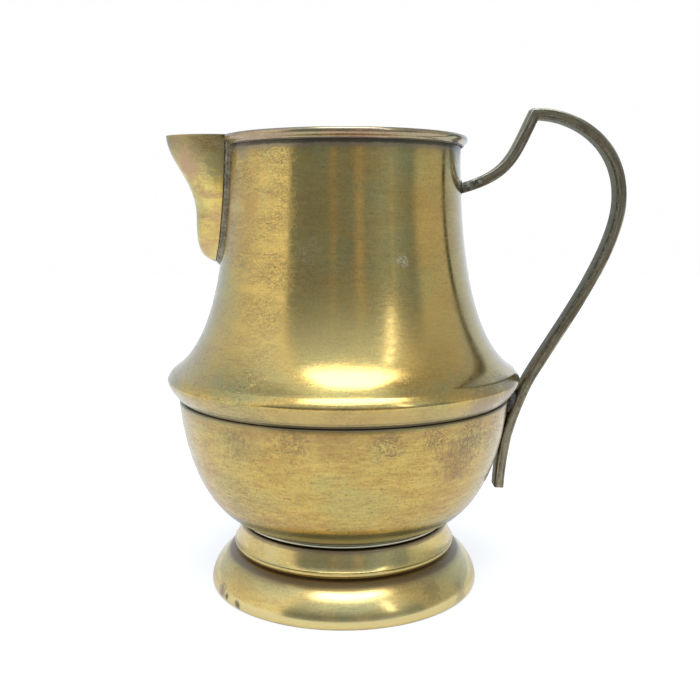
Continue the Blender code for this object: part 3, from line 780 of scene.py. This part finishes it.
def addBand():  # 1 between two heights, with a wandering edge
    inputs = {"Low": 0.0, "High": 0.1, "Soft": 0.001, "Wander": 0.001}
    group, given, out = newGroup("heightBand", inputs, ("Mask",))
    place = objectPlace(group)
    wobble = times(group, less(group, cloudy(group, place, *bandEdge), 0.5), given["Wander"])
    high = plus(group, node(group, "SeparateXYZ", {0: place}).outputs["Z"], wobble)
    up = maths(group, 'DIVIDE', less(group, high, given["Low"]), given["Soft"], clamp=True)
    down = maths(group, 'DIVIDE', less(group, given["High"], high), given["Soft"], clamp=True)
    group.links.new(spread(group, times(group, up, down), 0.0, 1.0), out["Mask"])
    return group


staining = {
    "edge": (650.0, 6.0, 0.75),
    "ragged": 2.2,
    "core": 0.35,  # share of the radius inside which it is whole
    "curls": (480.0, 5.0, 0.6, 1.8),
    "curlWidth": 0.09,
    "dull": 0.35,
}


def addSpotAt():  # 1 at a place, ragged towards the radius
    inputs = {"X": 0.0, "Y": 0.0, "Z": 0.0, "Radius": 0.003, "Curls": 0.0}
    group, given, out = newGroup("spotAt", inputs, ("Mask",))
    place = objectPlace(group)
    middle = node(group, "CombineXYZ", {0: given["X"], 1: given["Y"], 2: given["Z"]}).outputs[0]
    away = node(group, "VectorMath", {0: place, 1: middle}, operation='DISTANCE').outputs["Value"]
    edge = less(group, cloudy(group, place, *staining["edge"]), 0.5)
    share = plus(group, maths(group, 'DIVIDE', away, given["Radius"]),
                 times(group, edge, staining["ragged"]))
    line = awayFromMiddle(group, cloudy(group, place, *staining["curls"]))
    line = spread(group, line, staining["curlWidth"], 0.0)
    line = maths(group, 'ADD', line, less(group, 1.0, given["Curls"]), clamp=True)
    mask = times(group, spread(group, share, 1.0, staining["core"]), line)
    group.links.new(mask, out["Mask"])
    return group


aging = {
    "layers": (1, 1, 3),  # stains lie along the rings
    "drift": (7.0, 0.66, 0.5),  # its scale is the metal's mottle
    "hue": (48.0, 5.0, 0.6),
    "brown": (420.0, 6.0, 0.72, 0.3),
    "grain": (1700.0, 3.0, 0.65),
    # the part of each noise over which it comes in
    "cloud": (0.42, 0.62),
    "green": (0.48, 0.64),
    "spot": (0.56, 0.68),
    "pit": (0.60, 0.70),
    "crease": (0.35, 0.55),
    "tone": (-0.35, 0.35, 0.72, 1.26),
    # how strongly each darkens the metal, dulls it, and how deep it goes
    "dark": {"spot": 0.8, "pit": 0.7, "crease": 0.75},
    "dull": {"cloud": 0.04, "spot": 0.15, "streak": 0.10, "pit": 0.1},
    "deep": {"pit": 0.6, "crease": 2.4, "spot": 0.3},
    "relief": 0.6,  # of the marks and the grain
}


def addAgedMetal():  # clouds of patina, brown spots, pits, creases and turned marks
    inputs = {"Metal": (0.7, 0.5, 0.2, 1), "Patina": (0.5, 0.35, 0.2, 1), "Green": (0.5, 0.45, 0.2, 1),
              "Stain": (0.15, 0.1, 0.05, 1), "Clouds": 0.5, "Spots": 0.5, "Pits": 0.5, "Creases": 0.3,
              "Gloss": 0.2, "Marks": 0.5, "Mottle": 75.0, "Grain": 0.5}
    group, given, out = newGroup("agedMetal", inputs, ("Color", "Roughness", "Height"))
    place = axisPlace(group)
    layered = axisPlace(group, aging["layers"])
    drift = cloudy(group, layered, given["Mottle"], *aging["drift"])
    hue = cloudy(group, place, *aging["hue"])
    brown = cloudy(group, layered, *aging["brown"])
    grain = cloudy(group, place, *aging["grain"])
    marks = node(group, "Group", {"Fineness": 1.0}, node_tree=turnedMarks).outputs["Height"]
    wrinkle = node(group, "Group", {"Size": 1.0}, node_tree=wrinkles).outputs["Mask"]
    clouds, green, spots, pits, creased = [
        times(group, spread(group, value, *aging[key]), given[label]) for value, key, label in
        ((drift, "cloud", "Clouds"), (hue, "green", "Clouds"), (brown, "spot", "Spots"),
         (grain, "pit", "Pits"), (drift, "crease", "Creases"))]
    streak = times(group, less(group, marks, 0.5), given["Marks"])
    speck = times(group, less(group, grain, 0.5), given["Grain"])
    masks = {"cloud": clouds, "spot": spots, "pit": pits, "streak": streak,
             "crease": times(group, wrinkle, creased)}

    color = mixed(group, clouds, given["Metal"], given["Patina"])
    color = mixed(group, green, color, given["Green"])
    for name, strength in aging["dark"].items():
        color = mixed(group, times(group, masks[name], strength), color, given["Stain"])
    tone = grey(group, spread(group, plus(group, streak, speck), *aging["tone"]))
    group.links.new(mixed(group, 1.0, color, tone, 'MULTIPLY'), out["Color"])

    rough = given["Gloss"]
    for name, strength in aging["dull"].items():
        rough = maths(group, 'ADD', rough, times(group, masks[name], strength), clamp=name == "pit")
    group.links.new(rough, out["Roughness"])

    height = plus(group, times(group, streak, aging["relief"]), times(group, speck, aging["relief"]))
    for name, strength in aging["deep"].items():
        height = less(group, height, times(group, masks[name], strength))
    group.links.new(height, out["Height"])
    return group


turnedMarks = addTurnedMarks()
wrinkles = addWrinkles()
heightBand = addBand()
spotAt = addSpotAt()
agedMetal = addAgedMetal()

bandSizes = ("Low", "High", "Soft", "Wander")
spotSizes = ("X", "Y", "Z", "Radius")


def placed(tree, group, labels, sizes, **more):  # a group whose sizes are given in mm
    given = {label: size * mm for label, size in zip(labels, sizes)}
    return node(tree, "Group", {**given, **more}, node_tree=group).outputs["Mask"]


# Metals. A band is (low, high, soft edge, wander, colour, strength, roughness). A spot is
# (x, y, z, radius, colour, strength), and a seventh value makes it a patch of curls. Lengths are in mm

nearBlack = (0.060, 0.055, 0.042)
umber = (0.24, 0.155, 0.07)
plum = (0.24, 0.165, 0.13)
olive = (0.30, 0.27, 0.12)
ash = (0.32, 0.265, 0.17)
rust = (0.46, 0.27, 0.10)
bark = (0.27, 0.18, 0.08)

usual = {  # of a metal whose own entry doesn't say otherwise
    "clouds": 0.8, "spots": 0.3, "creases": 0.2, "mottle": 110.0, "grain": 0.5, "coat": 0.3,
    "coatRoughness": 0.12, "bands": (), "spots at": (),
}

metals = {
    "neckBrass": {
        "metal": (0.69, 0.485, 0.140), "patina": (0.64, 0.43, 0.12), "green": (0.57, 0.475, 0.165),
        "stain": (0.27, 0.19, 0.08), "spots": 0.25, "pits": 0.6, "creases": 0.9, "gloss": 0.10,
        "marks": 0.45, "mottle": 60.0, "grain": 0.65, "bump": 0.011, "coat": 0.35,
        # the first three bands darken the neck under the rim bead: tarnish, with painted shade in the
        # hollow close under the bead
        "bands": ((113.6, 118.5, 3.0, 3.0, umber, 0.40, 0.25),
                  (115.3, 118.5, 0.9, 1.6, ash, 0.75, 0.35),
                  (116.3, 118.5, 0.5, 1.0, nearBlack, 0.80, 0.45),
                  (55.6, 88.0, 20.0, 5.0, (0.66, 0.48, 0.155), 0.55, 0.26),
                  # painted shade: the tucked band under the shoulder is darkened, as it mirrors the
                  # shaded floor near the jug
                  (52.6, 56.9, 0.6, 2.4, (0.52, 0.385, 0.165), 0.45, 0.26),
                  # a darker line just above the lip: painted shade with tarnish
                  (52.85, 53.4, 0.2, 0.15, olive, 0.75, 0.3),
                  # a pale line on the lip's lower edge: painted highlight, the floor mirrored in it
                  (52.3, 52.85, 0.12, 0.05, (0.90, 0.78, 0.50), 0.8, 0.25)),
        "spots at": ((-30.0, -43.0, 54.4, 7.0, bark, 0.3, 1.0), (-12.0, -46.0, 54.4, 7.0, bark, 0.3, 1.0),
                     (8.0, -42.0, 54.4, 7.0, bark, 0.3, 1.0), (24.0, -29.0, 54.4, 7.0, bark, 0.4, 1.0),
                     (-39.5, -19.5, 115.5, 4.0, ash, 0.6), (15.5, -10.0, 116.3, 3.5, ash, 0.7),
                     (14.0, -13.0, 115.0, 2.6, olive, 0.6), (-35.9, -21.8, 102.2, 4.5, rust, 0.45),
                     (-30.5, -25.5, 105.0, 2.5, rust, 0.35), (27.0, -23.0, 58.6, 6.0, olive, 0.4),
                     (20.0, -31.0, 54.5, 9.0, (0.36, 0.26, 0.145), 0.65),
                     (28.0, -21.0, 54.5, 8.0, (0.36, 0.26, 0.145), 0.7),
                     (0.5, -29.0, 89.2, 2.2, (0.90, 0.78, 0.50), 0.7, 1.0),
                     (-21.0, -29.5, 91.0, 5.0, (0.85, 0.72, 0.42), 0.4, 1.0)),
    },
    "rimBrass": {
        "metal": (0.52, 0.39, 0.23), "patina": (0.42, 0.27, 0.18), "green": (0.42, 0.37, 0.20),
        "stain": (0.16, 0.10, 0.06), "pits": 0.3, "gloss": 0.16, "marks": 0.3, "bump": 0.008,
        # painted shade along the bead's lower edge, with tarnish
        "bands": ((117.3, 117.8, 0.2, 0.4, nearBlack, 0.8, 0.45),),
        "spots at": ((-41.5, -13.5, 118.5, 2.5, ash, 0.7),),
    },
    "bowlBrass": {
        "metal": (0.68, 0.475, 0.125), "patina": (0.57, 0.35, 0.095), "green": (0.57, 0.465, 0.15),
        "stain": (0.31, 0.175, 0.06), "spots": 0.8, "pits": 0.6, "creases": 0.4, "gloss": 0.24,
        "marks": 0.85, "grain": 0.9, "bump": 0.022, "coat": 0.55,
        # painted shade: the groove under the band's lip, darkest at the bowl's top edge and softer just
        # below it
        "bands": ((51.25, 56.0, 0.2, 0.15, (0.22, 0.19, 0.11), 0.9, 0.5),
                  (50.5, 51.6, 0.5, 0.6, olive, 0.55, 0.4),
                  (48.0, 51.6, 2.4, 3.6, rust, 0.60, 0.3),
                  # painted reflection: the lower bowl is darkened as if it mirrored the dark foot and the
                  # shaded table
                  (17.0, 24.4, 0.9, 0.3, (0.245, 0.245, 0.13), 0.94, 0.25),
                  # painted highlight: a thin bright line at the bowl's lowest edge
                  (17.95, 18.35, 0.1, 0.1, (0.85, 0.78, 0.58), 0.7, 0.3),
                  # painted shade in the crease over the foot
                  (17.0, 17.95, 0.1, 0.1, (0.20, 0.14, 0.095), 0.9, 0.5)),
        "spots at": ((8.0, -38.0, 48.0, 5.0, bark, 0.9, 1.0), (18.5, -30.5, 47.0, 7.5, bark, 0.9, 1.0),
                     (13.5, -33.5, 42.5, 9.0, rust, 0.45), (15.0, -33.0, 42.5, 9.0, bark, 0.8, 1.0),
                     (-16.0, -44.0, 48.5, 6.0, rust, 0.4), (-35.0, -38.0, 48.0, 7.0, rust, 0.35),
                     (-3.0, -42.0, 47.5, 5.0, bark, 0.8, 1.0), (-38.0, -34.0, 47.5, 6.0, bark, 0.7, 1.0),
                     (-25.0, -42.0, 48.5, 6.0, bark, 0.7, 1.0), (24.0, -22.0, 46.0, 7.0, bark, 0.8, 1.0)),
    },
    "footBrass": {
        "metal": (0.76, 0.575, 0.20), "patina": (0.62, 0.44, 0.15), "green": (0.64, 0.55, 0.22),
        "stain": (0.24, 0.15, 0.08), "clouds": 0.6, "spots": 0.2, "pits": 0.35, "gloss": 0.18,
        "marks": 0.4, "mottle": 80.0, "bump": 0.009, "coat": 0.35,
        "bands": ((8.5, 10.6, 0.6, 0.4, (0.20, 0.14, 0.085), 0.88, 0.5),
                  (7.6, 10.0, 1.2, 0.8, (0.34, 0.24, 0.13), 0.5, 0.3),
                  (-1.0, 0.4, 0.2, 0.2, (0.26, 0.20, 0.10), 0.7, 0.4),
                  # painted reflection: the lower roll is made paler and glossier, as if it mirrored the
                  # bright floor
                  (0.0, 3.4, 1.2, 0.5, (0.90, 0.74, 0.34), 0.75, 0.2),
                  # painted shade in the crease under the bowl, with tarnish
                  (16.0, 18.0, 0.7, 0.8, (0.24, 0.17, 0.11), 0.8, 0.4)),
        "spots at": ((-43.9, -20.2, 1.7, 1.2, nearBlack, 0.85), (-45.6, -17.6, 2.4, 2.5, plum, 0.75),
                     (-40.6, -24.6, 1.6, 1.5, nearBlack, 0.8), (8.6, -26.4, 6.1, 4.0, umber, 0.4),
                     (16.5, -19.5, 2.5, 3.5, plum, 0.4),
                     # painted reflection: the collar's left is made paler, as it mirrors the bright room
                     (-33.0, -23.5, 14.5, 4.0, (0.75, 0.62, 0.3), 0.5)),
    },
    "spoutBrass": {
        "metal": (0.84, 0.64, 0.185), "patina": (0.60, 0.38, 0.17), "green": (0.54, 0.47, 0.17),
        "stain": (0.22, 0.15, 0.08), "clouds": 0.75, "pits": 0.5, "creases": 0.4, "gloss": 0.16,
        "marks": 0.2, "bump": 0.012,
        "bands": ((111.0, 125.0, 6.0, 5.0, (0.30, 0.24, 0.12), 0.75, 0.25),),
        "spots at": ((-44.5, -12.2, 117.6, 2.4, ash, 0.8), (-43.6, -12.4, 119.6, 1.2, nearBlack, 0.8),
                     # painted reflection: a dark olive patch high on the spout's side, next to the neck
                     (-45.6, -11.2, 112.8, 5.6, (0.34, 0.315, 0.14), 0.85),
                     (-54.5, -6.0, 112.5, 5.5, (0.56, 0.35, 0.20), 0.8),
                     (-52.0, -7.0, 107.0, 3.0, (0.50, 0.30, 0.14), 0.6),
                     (-47.6, -2.0, 88.3, 1.4, nearBlack, 0.7),
                     (-49.0, -4.5, 92.0, 4.0, (0.64, 0.38, 0.18), 0.5)),
    },
    "innerBrass": {
        "metal": (0.42, 0.31, 0.13), "patina": (0.30, 0.21, 0.10), "green": (0.34, 0.30, 0.14),
        "stain": (0.12, 0.08, 0.04), "clouds": 0.9, "spots": 0.5, "pits": 0.4, "gloss": 0.40,
        "marks": 0.7, "mottle": 75.0, "bump": 0.02, "coat": 0.0,
    },
}


def brushedBrass(name):
    look = {**usual, **metals[name]}
    material, tree, sockets = newMetal(name)
    sockets["Coat Weight"].default_value = look["coat"]
    sockets["Coat Roughness"].default_value = look["coatRoughness"]
    settings = {key.title(): look[key] for key in
                ("clouds", "spots", "pits", "creases", "gloss", "marks", "mottle", "grain")}
    settings.update({key.title(): (*look[key], 1) for key in ("metal", "patina", "green", "stain")})
    aged = node(tree, "Group", settings, node_tree=agedMetal).outputs
    color, rough = aged["Color"], aged["Roughness"]
    layers = [(placed(tree, heightBand, bandSizes, band[:4]), *band[4:]) for band in look["bands"]]
    for x, y, z, radius, tone, strength, *curls in look["spots at"]:
        mask = placed(tree, spotAt, spotSizes, (x, y, z, radius), Curls=(curls or [0.0])[0])
        layers.append((mask, tone, strength, staining["dull"]))
    for mask, tone, strength, dull in layers:
        share = times(tree, mask, strength)
        color = mixed(tree, share, color, (*tone, 1))
        rough = node(tree, "Mix", {0: share, 2: rough, 3: dull}, data_type='FLOAT').outputs[0]
    if name == "neckBrass":  # tarnish along the spout's seam
        away = node(tree, "Attribute", attribute_name="seamAway").outputs["Fac"]
        ragged = cloudy(tree, objectPlace(tree), *seam["raggedNoise"])
        away = plus(tree, away, times(tree, ragged, seam["ragged"]))
        share = spread(tree, away, seam["tarnishTo"], seam["tarnishFrom"], 0.0, seam["tarnishShare"])
        color = mixed(tree, share, color, (*seam["tarnish"], 1))
    finished(tree, sockets, color, rough, aged["Height"], look["bump"])
    return material


darkMetal = {
    "bronze": (0.295, 0.26, 0.16),
    "brown": (0.27, 0.21, 0.135),
    "grey": (0.45, 0.41, 0.29),
    "black": (0.10, 0.095, 0.075),
    "pale": (0.62, 0.60, 0.48),
    "shade": (0.145, 0.145, 0.12),
    "edgeTone": (0.62, 0.62, 0.56),  # how light it gets where it turns away from the eye
    "patches": (170.0, 7.0, 0.7),
    "specks": (900.0, 5.0, 0.7),
    "lines": (1.0, 5.0, 0.6),
    "drawn": (2600, 2600, 130),  # stretches the lines along the bar
    # where a noise comes in, and how strongly
    "brownPatches": (0.48, 0.62),
    "greyLines": (0.50, 0.64, 0.0, 0.8),
    "blackLines": (0.48, 0.36, 0.0, 0.7),
    "blackSpecks": (0.55, 0.68, 0.0, 0.6),
    "innerCornerRagged": (0.62, 0.44),
    "wornEdge": (0.38, 0.55),
    "burntSpecks": (0.50, 0.60),
    "gloss": (0.35, 0.65, 0.25, 0.45),
    "faceFrom": (0.8, 0.98),  # the face towards the jug, as shares of half the thickness
    "tailFace": (0.75, 0.95),
    "innerLine": 0.75 * mm,  # how far the dark line and the worn edge reach from the corners
    "outerLine": 0.45 * mm,
    "tailTo": 38 * mm,  # below this the side towards the bowl is black
    "tailFrom": 34 * mm,
    "burnt": (19.5, -2.8, 108.0, 4.6),  # where it was soldered to the neck, in mm
    # how strongly each layer covers
    "innerCornerShare": 0.85,
    "wornShare": 0.75,
    "faceShare": 0.85,
    "burntShare": 0.75,
    "lineLift": 1.2,
    "bump": 0.03,
}


def handleBrown():
    look = darkMetal
    material, tree, sockets = newMetal("darkBrownBrass")
    sockets["Specular Tint"].default_value = (*look["edgeTone"], 1)
    place = objectPlace(tree)
    bar = node(tree, "Attribute", attribute_name="barPlace").outputs["Vector"]
    drawn = node(tree, "Mapping", {"Vector": bar, "Scale": look["drawn"]}).outputs[0]
    where = node(tree, "SeparateXYZ", {0: bar}).outputs
    high = node(tree, "SeparateXYZ", {0: place}).outputs["Z"]
    patch = cloudy(tree, place, *look["patches"])
    line = cloudy(tree, drawn, *look["lines"])
    small = cloudy(tree, place, *look["specks"])

    flat, corner = handle["thick"] / 2, handle["corner"]
    inner, outer, edge = look["innerLine"], look["outerLine"], handle["wide"] / 2
    front = spread(tree, maths(tree, 'ABSOLUTE', where["Y"]), edge - corner, edge - corner / 3)
    faceLow, faceHigh = [flat * share for share in look["faceFrom"]]
    tailLow, tailHigh = [flat * share for share in look["tailFace"]]
    face = spread(tree, where["X"], faceLow, faceHigh, 0.0, look["faceShare"])
    # a darker, ragged line along the corners on the side towards the jug
    innerCornerDark = times(tree, times(tree, spread(tree, where["X"], flat - inner, flat - inner / 3), front),
                 spread(tree, small, *look["innerCornerRagged"]))
    worn = times(tree, times(tree, spread(tree, where["X"], outer - flat, outer / 3 - flat), front),
                 spread(tree, line, *look["wornEdge"]))
    tail = times(tree, spread(tree, high, look["tailTo"], look["tailFrom"]),
                 spread(tree, where["X"], tailLow, tailHigh))
    burnt = placed(tree, spotAt, spotSizes, look["burnt"])
    scorched = mixed(tree, spread(tree, small, *look["burntSpecks"]), (*look["black"], 1),
                     (*look["pale"], 1))

    color = (*look["bronze"], 1)
    for mask, tone in ((spread(tree, patch, *look["brownPatches"]), "brown"),
                       (spread(tree, line, *look["greyLines"]), "grey"),
                       (spread(tree, line, *look["blackLines"]), "black"),
                       (spread(tree, small, *look["blackSpecks"]), "black"),
                       (face, "shade"),
                       (times(tree, innerCornerDark, look["innerCornerShare"]), "black"),
                       (times(tree, worn, look["wornShare"]), "pale"),
                       (times(tree, tail, look["faceShare"]), "shade")):
        color = mixed(tree, mask, color, (*look[tone], 1))
    color = mixed(tree, times(tree, burnt, look["burntShare"]), color, scorched)
    height = plus(tree, times(tree, line, look["lineLift"]), small)
    finished(tree, sockets, color, spread(tree, small, *look["gloss"]), height, look["bump"])
    return material


solderLooks = {  # dark, middle and bright tones, lowest and highest roughness, relief
    "seamSolder": ((0.17, 0.15, 0.10), (0.31, 0.275, 0.19), (0.50, 0.44, 0.30), 0.24, 0.44, 0.03),
    "creaseSolder": ((0.16, 0.12, 0.08), (0.25, 0.19, 0.13), (0.34, 0.27, 0.18), 0.42, 0.62, 0.02),
    "padSolder": ((0.06, 0.065, 0.07), (0.14, 0.14, 0.12), (0.34, 0.32, 0.24), 0.37, 0.57, 0.05),
}
solderGrain = {
    "patches": (520.0, 5.0, 0.7),
    "fine": (2400.0, 3.0),
    "middle": (0.40, 0.60),
    "bright": (0.56, 0.70),
    "gloss": (0.3, 0.7),
    "fineLift": 0.4,
}


def tarnishedSolder(name):
    dark, middle, bright, glossy, dull, depth = solderLooks[name]
    material, tree, sockets = newMetal(name)
    place = objectPlace(tree)
    patch = cloudy(tree, place, *solderGrain["patches"])
    fine = cloudy(tree, place, *solderGrain["fine"])
    color = mixed(tree, spread(tree, patch, *solderGrain["middle"]), (*dark, 1), (*middle, 1))
    color = mixed(tree, spread(tree, fine, *solderGrain["bright"]), color, (*bright, 1))
    rough = spread(tree, fine, *solderGrain["gloss"], glossy, dull)
    height = plus(tree, patch, times(tree, fine, solderGrain["fineLift"]))
    finished(tree, sockets, color, rough, height, depth)
    return material


# Light, floor and camera

studio = {
    "backdrop": 0.995,
    "floorTone": 0.62,
    "floorGlow": 0.58,
    "floorFront": 0.19,  # how far it reaches in front of the jug, behind it and to each side
    "floorBack": 1.3,
    "floorSide": 1.0,
    "floorInMetal": 0.54,  # how much of the glow the metal sees
    "cool": (0.84, 1.0, 1.30),
    "plain": (1.0, 1.0, 1.0),
    "warm": (1.18, 1.0, 0.90),
    # the room at eye height: degrees from the camera's side towards the handle, brightness, tint
    "level": ((-180, 0.95, "plain"), (-140, 0.68, "cool"), (-102, 0.80, "plain"), (-78, 0.98, "plain"),
              (-53, 1.0, "plain"), (-50, 0.30, "cool"), (-30, 0.27, "cool"), (-13, 0.29, "cool"),
              (-9, 0.36, "warm"), (-5, 0.29, "cool"), (9, 0.28, "cool"), (15, 0.46, "warm"),
              (21, 0.32, "cool"), (37, 0.44, "cool"), (44, 0.42, "cool"), (46, 0.62, "plain"),
              (48, 0.42, "cool"), (67, 0.30, "cool"), (76, 0.56, "plain"), (104, 0.54, "plain"),
              (120, 0.58, "cool"), (150, 0.80, "cool"), (180, 0.95, "plain")),
    # and above it
    "upper": ((-180, 0.60, "cool"), (-110, 0.56, "cool"), (-72, 0.95, "cool"), (-50, 1.05, "plain"),
              (-43, 0.80, "cool"), (0, 0.85, "cool"), (40, 0.92, "cool"), (58, 0.74, "plain"),
              (80, 0.44, "plain"), (150, 0.42, "cool"), (180, 0.60, "cool")),
    "upperFrom": 14,  # degrees of elevation over which the upper tones take over
    "upperTo": 48,
    "top": (1.10, 1.32, 1.55),
    "topFrom": 66,
    "topTo": 84,
    # the dark front edge of the table, seen low down
    "table": (0.40, 0.33, 0.25),
    "tableFrom": -4,
    "tableTo": -12,
    # windows of light: azimuth from and to, elevation from and to, soft edge, strength
    "windows": ((-42, 61, 57, 82, 6, 4.2), (40.5, 44, 23, 50, 4, 3.8)),
}


def toneRamp(tree, share, stops):
    ramp = node(tree, "ValToRGB", {0: share})
    elements = ramp.color_ramp.elements
    tones = [tuple(bright * part for part in studio[tint]) + (1,) for angle, bright, tint in stops]
    for (angle, bright, tint), tone in list(zip(stops, tones))[1:-1]:
        elements.new((angle + 180) / 360).color = tone
    elements[0].color = tones[0]
    elements[-1].color = tones[-1]
    return ramp.outputs[0]


def addWorld():
    world = bpy.data.worlds.new("studio")
    bpy.context.scene.world = world
    world.use_nodes = True
    tree = world.node_tree
    tree.nodes.clear()
    way = node(tree, "TexCoord").outputs["Generated"]
    parts = node(tree, "SeparateXYZ", {0: way}).outputs
    turn = maths(tree, 'ARCTAN2', parts["X"], times(tree, parts["Y"], -1.0))
    turn = maths(tree, 'DEGREES', turn)
    lift = maths(tree, 'DEGREES', maths(tree, 'ARCSINE', parts["Z"]))
    share = plus(tree, maths(tree, 'DIVIDE', turn, 360.0), 0.5)
    high = spread(tree, lift, studio["upperFrom"], studio["upperTo"])
    level, upper = [toneRamp(tree, share, studio[key]) for key in ("level", "upper")]
    tone = mixed(tree, high, level, upper)
    for key in ("top", "table"):
        reach = spread(tree, lift, studio[key + "From"], studio[key + "To"])
        tone = mixed(tree, reach, tone, (*studio[key], 1))
    for left, right, low, top, soft, power in studio["windows"]:
        mask = times(tree, between(tree, turn, left, right, soft), between(tree, lift, low, top, soft))
        tone = mixed(tree, 1.0, tone, grey(tree, times(tree, mask, power)), 'ADD')
    camera = node(tree, "LightPath").outputs["Is Camera Ray"]
    seen = mixed(tree, camera, tone, (studio["backdrop"],) * 3 + (1,))
    shader = node(tree, "Background", {"Color": seen, "Strength": 1.0})
    node(tree, "OutputWorld", {"Surface": shader.outputs[0]})


def addFloor():  # its glow is for the camera and, weaker, for what the metal mirrors
    material = bpy.data.materials.new("paleFloor")
    material.use_nodes = True
    tree = material.node_tree
    tree.nodes.clear()
    matt = node(tree, "BsdfDiffuse", {"Color": (studio["floorTone"],) * 3 + (1,)})
    path = node(tree, "LightPath").outputs
    metal = maths(tree, 'ADD', path["Is Glossy Ray"], path["Is Transmission Ray"], clamp=True)
    seen = plus(tree, path["Is Camera Ray"], times(tree, metal, studio["floorInMetal"]))
    power = times(tree, seen, studio["floorGlow"])
    glow = node(tree, "Emission", {"Color": (1, 1, 1, 1), "Strength": power})
    both = node(tree, "AddShader", {0: matt.outputs[0], 1: glow.outputs[0]})
    node(tree, "OutputMaterial", {"Surface": both.outputs[0]})
    bm = bmesh.new()
    bmesh.ops.create_grid(bm, x_segments=1, y_segments=1, size=1)
    deep = (studio["floorFront"] + studio["floorBack"]) / 2
    bmesh.ops.scale(bm, vec=(studio["floorSide"], deep, 1), verts=bm.verts)
    bmesh.ops.translate(bm, vec=(axisX, deep - studio["floorFront"], 0), verts=bm.verts)
    addMesh("floor", bm, material)


camera = {
    "place": (axisX + 1.70 * mm, -242.6 * mm, 99.3 * mm),
    "tilt": 8.36,  # degrees down
    "sensor": 36.0,
    "focal": 900,  # pixels, in a picture this many wide
    "width": 700,
    "nearest": 0.01,
}


def addCamera():
    data = bpy.data.cameras.new("camera")
    data.sensor_width = camera["sensor"]
    data.lens = camera["sensor"] * camera["focal"] / camera["width"]
    data.clip_start = camera["nearest"]
    made = bpy.data.objects.new("camera", data)
    made.location = camera["place"]
    made.rotation_euler = (math.radians(90 - camera["tilt"]), 0, 0)
    bpy.context.collection.objects.link(made)
    bpy.context.scene.camera = made


addCamera()
addWorld()
addFloor()
print("studio ready")
brass = {name: brushedBrass(name) for name in metals}
solderMetal = {name: tarnishedSolder(name) for name in solderLooks}
print("metals ready")
addNeckShell(brass["neckBrass"], brass["innerBrass"], pouringCutter())
addRimBead(brass["rimBrass"])
addBowl(brass["bowlBrass"], brass["innerBrass"])
addFoot(brass["footBrass"], brass["innerBrass"])
print("body ready")
addSpout(brass["spoutBrass"], brass["innerBrass"])
addSpoutSeam(solderMetal["seamSolder"])
addHandle(handleBrown())
addBodySolder(solderMetal["creaseSolder"])
addFootSolder(solderMetal["creaseSolder"])
addPads(solderMetal["padSolder"])
print("spout, handle and solder ready")

bpy.context.scene.view_settings.view_transform = 'Standard'
